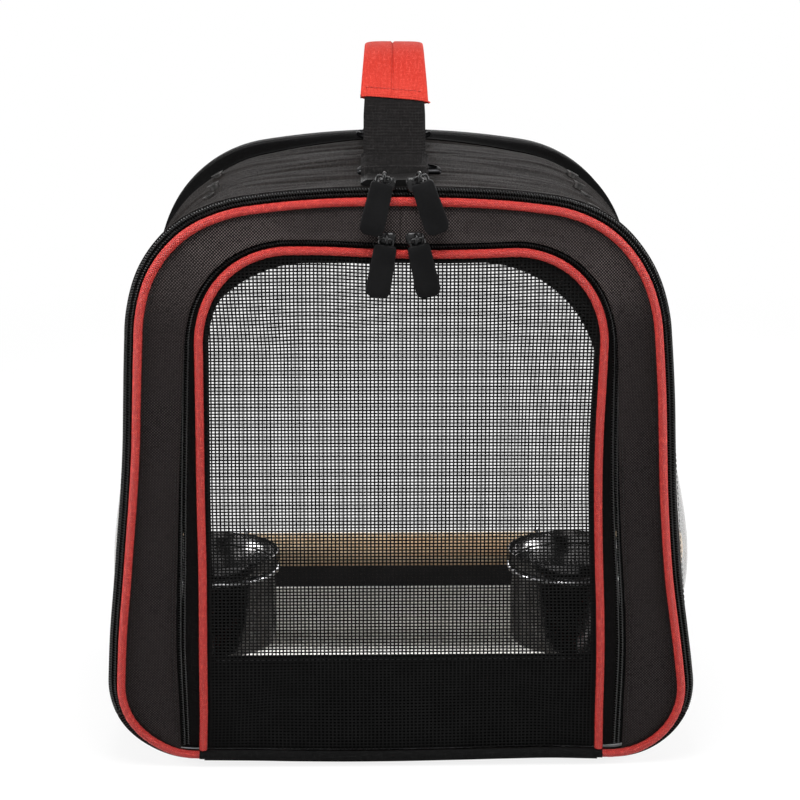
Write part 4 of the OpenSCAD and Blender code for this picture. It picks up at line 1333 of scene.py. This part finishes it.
kick = lay_grid("door_lower_backing", 120, 30, kick_place, KICK_FLAT)
make_cloth(kick, BACKING_T, middle=DOOR_MIDDLE)
hand_over(kick, "mesh_door", "backing", "door_kick_panel")

# %% [markdown]
# ## Handle
# The handle is one webbing: it runs back from the front edge under the roof's binding,
# folds over the ring's bar, rises in an arch and comes down to the other ring.

# %% Handle webbing
RING_Y, RING_Z = -0.095, 0.35175
RING_WIRE_R = 0.00175
HANDLE_SLOPE = math.radians(50)
HANDLE_RISE = 0.0635
run = -RING_Y
handle_r = (run * math.tan(HANDLE_SLOPE) - HANDLE_RISE) / (
    math.sin(HANDLE_SLOPE) * math.tan(HANDLE_SLOPE) - 1 + math.cos(HANDLE_SLOPE))
apex_z = RING_Z + HANDLE_RISE
WEB_W, WEB_T = 0.0366, 0.0018
# The webbing thins to a share of itself within this distance of its edges.
EDGE_W, EDGE_SHARE = 0.0008, 0.45
ANCHOR_W, ANCHOR_Z = 0.040, 0.3481
# Where along the webbing its turned-back end stops, how askew that edge is, how thick the
# end is and how suddenly it stops.
FOLD_AT, FOLD_SLANT, FOLD_T, FOLD_STEP = 0.0530, 0.04, 0.0015, 0.00012
print("handle radius", round(handle_r, 4), "apex", round(apex_z, 4))


def handle_x(y):
    """The webbing lies a little left of the middle, more so at the front."""
    return -0.0014 + 0.0013 * np.clip(y / 0.095, -1, 1)


def strap_path():
    """The webbing's middle in [y, z], from the front edge to the top of the arch."""
    flat = [[-0.1357, ANCHOR_Z + 0.0009], [-0.1180, ANCHOR_Z + 0.0009],
        [-0.1020, ANCHOR_Z + 0.0011]]
    over = RING_WIRE_R + 0.0013
    rise = [[RING_Y + math.sin(t) * over, RING_Z + math.cos(t) * over]
        for t in np.radians([-62, -50, -40])]
    leg = [[RING_Y + 0.010 * math.cos(HANDLE_SLOPE), RING_Z + 0.010 * math.sin(HANDLE_SLOPE)]]
    bow = [[handle_r * math.sin(a), apex_z - handle_r + handle_r * math.cos(a)]
        for a in np.linspace(-HANDLE_SLOPE, 0, 24)]
    rows = np.array(flat + rise + leg + bow)
    slope = np.gradient(rows, axis=0)
    size = np.linalg.norm(slope, axis=1, keepdims=True)
    normal = np.stack([-slope[:, 1], slope[:, 0]], 1) / size
    return Line(np.hstack([rows, normal]))


strap_line = strap_path()


def strap_half(name, side):
    """side is -1 for the front half and 1 for the rear."""

    def place(u, v):
        share = u * strap_line.length
        y, z, ny, nz = strap_line.read(u)
        wide = np.interp(share, [0, FOLD_AT - 0.0002, FOLD_AT + 0.0004, 0.080, 0.115],
            [ANCHOR_W, ANCHOR_W - 0.0008, WEB_W, WEB_W, WEB_W - 0.003]) / 2
        edge, top = read_points(v, [[-1, 1], [1, 1], [1, -1], [-1, -1], [-1, 1.0]])
        x = edge * wide
        soft = np.clip((wide - np.abs(x)) / EDGE_W, 0, 1) ** 0.5
        past_fold = np.clip((share - FOLD_AT - x * FOLD_SLANT) / FOLD_STEP, -50, 50)
        fold = FOLD_T / (1 + np.exp(past_fold)) * (top > 0)
        half = (WEB_T / 2 * (EDGE_SHARE + (1 - EDGE_SHARE) * soft) + fold * soft) * top
        y, z = y + ny * half, z + nz * half
        return x + handle_x(-side * y), -side * y, z

    piece = lay_grid(name, 700, 48, place, (strap_line.length, 0.08))
    close_tube(piece)
    smooth(piece, 50)
    return piece


for end, side, nodes in (("front", -1, ("front_ring_anchor", "handle_strap")),
        ("rear", 1, ("rear_ring_anchor",))):
    piece = strap_half(f"handle_webbing_{end}", side)
    dress(piece, "webbing")
    settle_cloth(piece)
    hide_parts(*nodes)
    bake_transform(piece)

# %% [markdown]
# ## Grip
# The red grip is a sleeve of padded twill round the webbing. Its section is a soft flat
# oval, its ends are turned in and overlocked, and a crease runs along it beside the middle.

# %% Grip
GRIP_HALF = math.radians(44)
GRIP_W, GRIP_T, GRIP_SEWN = 0.0415, 0.0070, 0.0005
# In its middle the grip is so much narrower and higher; its crease and its turned-in ends.
GRIP_WAIST, GRIP_CROWN = 0.0022, 0.0013
CREASE_DEPTH, CREASE_HALF_W = 0.0011, 0.0006
HEM_SLANT, HEM_RUN, HEM_THIN = 0.0022, 0.003, 0.0012
grip_length = 2 * GRIP_HALF * handle_r


def even_oval(across, gap_shade_colour, cells=4001):
    """A soft flat oval, read so that equal shares are equal distances along its edge."""
    a = np.linspace(0, 2 * math.pi, cells)
    x = across * np.sign(np.cos(a)) * np.abs(np.cos(a)) ** 0.42
    z = gap_shade_colour * np.sign(np.sin(a)) * np.abs(np.sin(a)) ** 0.55
    at = np.concatenate([[0], np.cumsum(np.hypot(np.diff(x), np.diff(z)))])
    return lambda share: (np.interp(share * at[-1], at, x) / across,
        np.interp(share * at[-1], at, z) / gap_shade_colour)


grip_oval = even_oval(GRIP_W / 2, GRIP_T / 2)


def on_handle(x, a, r):
    """A place across the handle by x, at an angle and radius of its bow."""
    y = r * np.sin(a)
    return x + handle_x(y), y, apex_z - handle_r + r * np.cos(a)


def grip_place(u, v):
    across, up = grip_oval(v)
    a = (2 * u - 1) * GRIP_HALF
    end = 1 - np.clip(np.minimum(u, 1 - u) * grip_length / HEM_RUN, 0, 1)
    pinch = np.cos(a * math.pi / 2 / GRIP_HALF)
    x = (GRIP_W / 2 - GRIP_SEWN - GRIP_WAIST * pinch) * across
    a = a - HEM_SLANT / handle_r * across * (1 - u) ** 3
    puff = waves(x, a * handle_r, 71, 0.03) * 0.00025
    crease = -CREASE_DEPTH * np.exp(-((x + 0.0012 - 0.0008 * u) / CREASE_HALF_W) ** 2)
    out = (GRIP_T / 2 - GRIP_SEWN) * up
    out = out + np.where(up > 0, puff + crease + GRIP_CROWN * pinch, -puff) * (1 - end)
    out = out - np.sign(up) * end ** 2 * HEM_THIN
    return on_handle(x, a, handle_r + out)


grip = lay_grid("grip_sleeve", 200, 150, grip_place, (grip_length, 0.094))
merge_doubles(grip)
face_outwards(grip)
apply_modifier(grip, "SOLIDIFY", thickness=0.0012, offset=-1)
smooth(grip, 60)
hand_over(grip, "handle", "red_fabric", "handle_grip")

# %% [markdown]
# ## Hard pieces from their solids
# Where a solid already has the real shape, a copy of it is merged and its edges are
# rounded with a bevel, because a real moulding or pressing has no knife edge.

# %% Rounded copies of rigid solids


def rounded_copy(node, name, width, body, finish, slot=None):
    """Takes a solid's own shape and rounds its edges by a width."""
    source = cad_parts[node]
    piece = bpy.data.objects.new(name, source.data.copy())
    bpy.context.scene.collection.objects.link(piece)
    piece.data.name = name
    merge_doubles(piece, 0.00002)
    edit_all(piece, bpy.ops.mesh.dissolve_limited, angle_limit=math.radians(2))
    apply_modifier(piece, "BEVEL", width=width, segments=2, limit_method="ANGLE",
        angle_limit=math.radians(35), use_clamp_overlap=True)
    smooth(piece, 35)
    return hand_over(piece, body, finish, node, slot=slot, soft=False)


rounded_copy("base_board", "base_stiffener", 0.0008, "shell", "board")
for end in ("left", "right"):
    rounded_copy(f"{end}_perch_cradle", f"{end}_cradle", 0.0006, "shell", "black_plastic")

KEPT = {
    "front_frame_wire": "spring_wire", "rear_frame_wire": "spring_wire",
    "vent_eyelets": "eyelet_metal", "cradle_rivets": "eyelet_metal",
    "front_ring": "dark_nickel", "rear_ring": "dark_nickel",
    "left_cup_holder": "steel_wire", "right_cup_holder": "steel_wire",
}
for node, finish in KEPT.items():
    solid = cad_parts[node]
    solid.data.materials.clear()
    solid.data.materials.append(FINISHES[finish])
print("kept solids:", len(KEPT))

# %% [markdown]
# ## Zip sliders and pulls
# A slider is a pressed metal body with a bridge on its face, a wire link hangs from the
# bridge, and a moulded rubber tab hangs on the link. Link and tab are modelled at the
# origin and hung at each of the four places with its own lean.

# %% Zip sliders and pulls
# Each pull's pin, and its lean in degrees.
PULLS = {
    "outer_left": (-0.0095, -0.1489, 0.3565, 13.5),
    "outer_right": (0.0105, -0.1489, 0.3565, -18.7),
    "inner_left": (-0.0080, -0.1450, 0.3202, 9.8),
    "inner_right": (0.0090, -0.1450, 0.3202, -12.5),
}
TAB_L, TAB_HALF_W, TAB_TOP, TAB_TAPER = 0.031, 0.0076, -0.0036, 0.12
# How far each level of a moulding is drawn in from its outline, and its depth.
TAB_ROWS = [(0.0045, -0.0015), (0.0008, -0.0015), (0.0003, -0.0013), (0.00005, -0.0009),
    (0.0, -0.0004), (0.0, 0.0004), (0.00005, 0.0009), (0.0003, 0.0013), (0.0008, 0.0015),
    (0.0045, 0.0015)]
SLIDER_ROWS = [(0.0012, 0.0), (0.0003, -0.0001), (0.0, -0.0005), (0.0, -0.0011),
    (0.0004, -0.0017), (0.0013, -0.0021), (0.0030, -0.0023)]


def stacked(name, rows, cells, low, high, half_w, r, top_r):
    """A flat moulding: the same rounded outline, drawn in by each row's first number and
    placed at the depth of its second."""
    lines = [loop_of(half_w - i, low + i, high - i, max(r - i, 0.0003),
        top_r=max(top_r - i, 0.0003)) for i, _ in rows]
    depths = np.array([d for _, d in rows])

    def place(u, v):
        level = np.rint(v * (len(rows) - 1)).astype(int)
        x, z = np.zeros_like(u), np.zeros_like(u)
        for i, line in enumerate(lines):
            on = level == i
            x[on], z[on], _, _ = line.read(u[on])
        return x, depths[level], z

    piece = lay_grid(name, cells, len(rows) - 1, place, (0.08, 0.02))
    close_tube(piece)
    smooth(piece, 40)
    return piece


def rubber_tab(name):
    """A flat tab, a little narrower towards its top."""
    piece = stacked(name, TAB_ROWS, 96, TAB_TOP - TAB_L, TAB_TOP, TAB_HALF_W, 0.0052, 0.0022)
    co = places(piece)
    co[:, 0] *= 0.97 - TAB_TAPER * (co[:, 2] - TAB_TOP + TAB_L) / TAB_L
    move_to(piece, co)
    return piece


def at_pin(piece, pin):
    """Leans a piece made at the origin and hangs it at a pull's pin."""
    x, y, z, lean = pin
    co = places(piece)
    t = math.radians(lean)
    turned = np.stack([co[:, 0] * math.cos(t) + co[:, 2] * math.sin(t), co[:, 1],
        co[:, 2] * math.cos(t) - co[:, 0] * math.sin(t)], 1)
    move_to(piece, turned + np.array([x, y, z]))


def wire_link(name):
    half_w, height, r = 0.0040, 0.0044, 0.0007
    ring = loop_of(half_w, -height, 0.0, 0.0016)

    def place(u, v):
        x, z, nx, nz = ring.read(u)
        a = 2 * math.pi * v
        return x + nx * r * np.cos(a), r * np.sin(a), z + nz * r * np.cos(a)

    piece = lay_grid(name, 64, 10, place, (0.03, 0.004))
    merge_doubles(piece)
    face_outwards(piece)
    smooth(piece, 60)
    return piece


def add_spline(curve, kind, points):
    spline = curve.splines.new(kind)
    spline.points.add(len(points) - 1)
    for made, point in zip(spline.points, points):
        made.co = (*point, 1)
    return spline


def bent_rod(name, points, radius):
    """A smooth rod through the points."""
    let_go()
    bpy.ops.curve.primitive_nurbs_path_add()
    piece = bpy.context.active_object
    piece.name = name
    curve = piece.data
    curve.splines.clear()
    spline = add_spline(curve, "NURBS", points)
    spline.use_endpoint_u = True
    spline.order_u = 4
    curve.bevel_depth = radius
    curve.bevel_resolution = 3
    curve.resolution_u = 6
    curve.use_fill_caps = True
    bpy.ops.object.convert(target="MESH")
    return bpy.context.active_object


SLIDER_Y, SLIDER_T = -0.1403, 0.0023
SLIDERS = {"outer_left": (-0.008, 0.3504), "outer_right": (0.008, 0.3504),
    "inner_left": (-0.008, 0.3189), "inner_right": (0.008, 0.3189)}


def zip_slider(name, place_name):
    """A plate on the zip with a bridge that rises round the pull's pin."""
    x, z = SLIDERS[place_name]
    pin_x, pin_y, pin_z, _ = PULLS[place_name]
    half_h = 0.0045
    plate = stacked(name, SLIDER_ROWS, 48, -half_h, half_h, 0.0055, 0.0040, 0.0028)
    co = places(plate)
    co[:, 0] *= 1 - 0.18 * (half_h - co[:, 2]) / (2 * half_h)
    move_to(plate, co + np.array([x, SLIDER_Y, z]))
    foot_y = SLIDER_Y - SLIDER_T + 0.0004
    bridge = bent_rod(name + "_bridge", [(x, foot_y, z - 0.0034), (x, foot_y - 0.0010, z - 0.0030),
        ((x + pin_x) / 2, (foot_y + pin_y) / 2 - 0.0012, (z + pin_z) / 2 - 0.0026),
        (pin_x, pin_y - 0.0021, pin_z - 0.0012), (pin_x, pin_y - 0.0019, pin_z + 0.0014),
        (pin_x, pin_y + 0.0004, pin_z + 0.0023), ((x + pin_x) / 2, foot_y - 0.0004,
            max(z + 0.0036, pin_z + 0.0008)), (x, foot_y, z + 0.0030)], 0.0010)
    pick(plate)
    bridge.select_set(True)
    bpy.ops.object.join()
    face_outwards(plate)
    smooth(plate, 45)
    return plate


for place_name, pin in PULLS.items():
    tab = rubber_tab(f"{place_name}_rubber_tab")
    at_pin(tab, pin)
    hand_over(tab, f"{place_name}_pull", "rubber_tab", f"{place_name}_tab")
    link = wire_link(f"{place_name}_wire_link")
    at_pin(link, pin)
    hand_over(link, f"{place_name}_pull", "slider_metal", f"{place_name}_link")
    hand_over(zip_slider(f"{place_name}_zip_slider", place_name), f"{place_name}_slider",
        "slider_metal", f"{place_name}_slider")

# %% [markdown]
# ## Stitching
# Seams are what make a sewn thing look sewn. One stitch is a short rounded bar of thread.
# An array repeats it in a row, and a curve modifier lays the row along a seam.

# %% Stitch rows
STITCH_R = 0.00026


def stitch_row(name, points, body, finish="sewing_thread", slot="black_tape", pitch=0.0034,
        length=0.0025):
    """Lays stitches of a length along the points, one each pitch."""
    curve = bpy.data.curves.new(name + "_path", "CURVE")
    curve.dimensions = "3D"
    add_spline(curve, "POLY", points)
    path = bpy.data.objects.new(name + "_path", curve)
    bpy.context.scene.collection.objects.link(path)
    total = np.linalg.norm(np.diff(np.array(points), axis=0), axis=1).sum()
    let_go()
    bpy.ops.mesh.primitive_uv_sphere_add(segments=6, ring_count=5, radius=1,
        location=(pitch / 2, 0, 0), rotation=(0, math.pi / 2, 0))
    piece = added(name)
    piece.scale = (STITCH_R, STITCH_R, length / 2)
    settle(piece)
    repeat(piece, int(total / pitch), (pitch, 0, 0))
    apply_modifier(piece, "CURVE", object=path, deform_axis="POS_X")
    bpy.data.objects.remove(path)
    smooth(piece, 60)
    return hand_over(piece, body, finish, slot=slot)


def seam_points(line, out, y):
    """A row of points beside a line, so far outwards and at a depth."""
    x, z, nx, nz = line.read(np.linspace(0, 1, 240))
    return [(a + c * out, y, b + d * out) for a, b, c, d in zip(x, z, nx, nz)]


FRONT_SEAM_Y, WINDOW_SEAM = -0.1399, 0.0035
stitch_row("band_seam_at_door_zip", seam_points(panel_hole, 0.0022, FRONT_SEAM_Y), "front_panel")
stitch_row("band_seam_at_piping", seam_points(panel_edge, -0.0030, FRONT_SEAM_Y), "front_panel")
window_row = [(float(outline_x(np.array([z]))[0]) + 0.0001, y, z) for y, z in zip(
    *loop_of(WINDOW_L / 2 + WINDOW_SEAM, WINDOW_LOW - WINDOW_SEAM, WINDOW_HIGH + WINDOW_SEAM,
        WINDOW_R + WINDOW_SEAM).read(np.linspace(0, 1, 200))[:2])]
stitch_row("right_window_seam", window_row, "shell")
stitch_row("left_window_seam", [(-x, y, z) for x, y, z in window_row], "shell")
stitch_row("rear_window_seam", seam_points(rear_hole, WINDOW_SEAM, 0.1398), "shell")
stitch_row("lower_backing_seam", [(x, -0.1386, KICK_TOP - 0.002) for x in
    np.linspace(-0.112, 0.112, 40)], "mesh_door")


def grip_hem(side):
    """Stitches across the grip, just inside its end; the front hem runs askew."""
    x = np.linspace(-0.0175, 0.0175, 20)
    a = side * (GRIP_HALF - 0.0055 / handle_r)
    if side < 0:
        a = a - HEM_SLANT / handle_r * x / 0.02
    where_to = on_handle(x, a, handle_r + GRIP_T / 2 + 0.0001)
    return list(zip(*(np.broadcast_to(c, x.shape).tolist() for c in where_to)))


for side, name in ((-1, "front_grip_hem"), (1, "rear_grip_hem")):
    stitch_row(name, grip_hem(side), "handle", "red_thread", "red_fabric", 0.0026, 0.0018)

# %% [markdown]
# ## Perch
# The perch is a turned dowel: a long cylinder with its two ends chamfered and its surface
# very slightly uneven, as wood is.

# %% Perch
PERCH_R, PERCH_Z, PERCH_LEFT, PERCH_RIGHT = 0.011, 0.093, -0.178, 0.1845
let_go()
bpy.ops.mesh.primitive_cylinder_add(vertices=64, radius=PERCH_R, depth=PERCH_RIGHT - PERCH_LEFT,
    location=((PERCH_LEFT + PERCH_RIGHT) / 2, 0, PERCH_Z), rotation=(0, math.pi / 2, 0))
perch = added("turned_perch")
settle(perch)
apply_modifier(perch, "BEVEL", width=0.0012, segments=3, limit_method="ANGLE")
smooth(perch, 35)
hand_over(perch, "perch", "perch_wood", "perch")

# %% [markdown]
# ## Cups
# The cups are deep-drawn steel with a wider collar that rests on the ring. Their profile is
# drawn as a chain of points and spun round the upright axis, with a small roll at the rim.

# %% Cups
CUPS = {"left": (-0.1145, -0.0525), "right": (0.109, -0.0525)}
CUP_PROFILE = [(0, 0.05), (0.0345, 0.05), (0.0365, 0.0507), (0.0375, 0.0524), (0.0375, 0.0985),
    (0.0379, 0.0996), (0.0392, 0.0999), (0.0399, 0.1006), (0.0399, 0.1078), (0.0399, 0.1088),
    (0.0395, 0.1090), (0.0391, 0.1088), (0.0391, 0.1012), (0.0385, 0.1006), (0.0372, 0.1004),
    (0.0367, 0.0995), (0.0367, 0.0528), (0.0358, 0.0513), (0.0345, 0.0508), (0, 0.0508)]


def spun_cup(name, middle):
    """Draws the profile by extruding a point along it, then spins it."""
    let_go()
    bpy.ops.mesh.primitive_plane_add(size=0.001)
    piece = added(name)
    bpy.ops.object.mode_set(mode="EDIT")
    bpy.ops.mesh.select_all(action="SELECT")
    bpy.ops.mesh.merge(type="CENTER")
    (x0, z0), *rest = CUP_PROFILE
    bpy.ops.transform.translate(value=(x0, 0, z0))
    for x, z in rest:
        bpy.ops.mesh.extrude_vertices_move(
            TRANSFORM_OT_translate={"value": (x - x0, 0, z - z0)})
        x0, z0 = x, z
    bpy.ops.mesh.select_all(action="SELECT")
    bpy.ops.mesh.spin(steps=72, angle=2 * math.pi, center=(0, 0, 0), axis=(0, 0, 1))
    bpy.ops.mesh.select_all(action="SELECT")
    bpy.ops.mesh.remove_doubles(threshold=0.00001)
    bpy.ops.mesh.normals_make_consistent(inside=False)
    bpy.ops.object.mode_set(mode="OBJECT")
    piece.location = (*middle, 0)
    settle(piece)
    smooth(piece, 45)
    return piece


for side, middle in CUPS.items():
    hand_over(spun_cup(f"{side}_steel_cup", middle), f"{side}_cup", "stainless", f"{side}_cup")

# %% [markdown]
# ## Tray
# The tray is a shallow pressed pan with a turned-out lip. The solid's shape is right, so a
# rounded copy of it is used, with the bright brushed finish.

# %% Tray
rounded_copy("tray", "droppings_tray", 0.0006, "tray", "tray_steel", slot="stainless")

# %% [markdown]
# ## Stage and light
# The object stands on a pale floor in front of a white background. The floor is lit, so it
# takes the object's shadow; the background is white only to the camera and to what
# reflects or transmits it. Five soft lamps light it: the key lamp hangs close above the
# front, a weak one fills the front, one at each side shines through the clear windows, and
# one stands behind and lights the inside through the rear mesh.

# %% Stage and light
WHITE = (1, 1, 1, 1)
FILL_LIGHT = 0.13
# Two distances from the middle of the floor, and how white the floor looks at each.
FLOOR_FADE = (0.45, 1.5, 0.84, 1.0)
LAMP_TARGET = Vector((0, 0, 0.2))
# Each lamp's place, size and power.
LAMPS = {
    "key_lamp": ((-0.04, -0.36, 0.74), 0.36, 4.6),
    "front_lamp": ((-0.3, -1.9, 0.6), 1.0, 1.5),
    "right_window_lamp": ((0.95, -0.20, 0.40), 0.5, 11),
    "left_window_lamp": ((-0.95, -0.20, 0.40), 0.5, 11),
    "rear_lamp": ((0.1, 1.1, 0.75), 0.9, 12),
}


def seen_directly(tree):
    """1 for what the camera sees, also in a reflection or through glass, and 0 for light."""
    path = add_node(tree, "LightPath", {})
    return calc(tree, "MAXIMUM", path["Is Camera Ray"],
        calc(tree, "MAXIMUM", path["Is Glossy Ray"], path["Is Transmission Ray"]))


def pale_stage():
    let_go()
    bpy.ops.mesh.primitive_plane_add(size=8, location=(0, 0.6, 0))
    floor = added("floor")
    settle(floor)
    material = bpy.data.materials.new("floor")
    material.use_nodes = True
    tree = material.node_tree
    shader = tree.nodes["Principled BSDF"]
    dress_shader(tree, shader, Base_Color=(0.86, 0.86, 0.86, 1), Roughness=0.9)
    away = add_node(tree, "VectorMath", {0: where(tree, "Object")}, operation="LENGTH")
    share = remap(tree, away["Value"], *FLOOR_FADE)
    mix = add_node(tree, "MixShader", {0: calc(tree, "MULTIPLY", seen_directly(tree), share),
        1: shader.outputs[0], 2: add_node(tree, "Emission", {})[0]})
    tree.links.new(mix[0], tree.nodes["Material Output"].inputs[0])
    floor.data.materials.append(material)


def white_world():
    world = bpy.data.worlds.new("studio")
    bpy.context.scene.world = world
    world.use_nodes = True
    tree = world.node_tree
    light = tree.nodes["Background"]
    dress_shader(tree, light, Color=WHITE, Strength=FILL_LIGHT)
    seen = add_node(tree, "Background", {"Color": WHITE, "Strength": 1.0})
    mix = add_node(tree, "MixShader", {0: seen_directly(tree), 1: light.outputs[0], 2: seen[0]})
    tree.links.new(mix[0], tree.nodes["World Output"].inputs[0])


def soft_lamp(name, place, size, power):
    data = bpy.data.lights.new(name, "AREA")
    data.size = size
    data.energy = power
    lamp = bpy.data.objects.new(name, data)
    lamp.location = place
    lamp.rotation_euler = (LAMP_TARGET - Vector(place)).to_track_quat("-Z", "Y").to_euler()
    bpy.context.scene.collection.objects.link(lamp)


pale_stage()
white_world()
for name, settings in LAMPS.items():
    soft_lamp(name, *settings)
bpy.context.scene.view_settings.view_transform = "Standard"
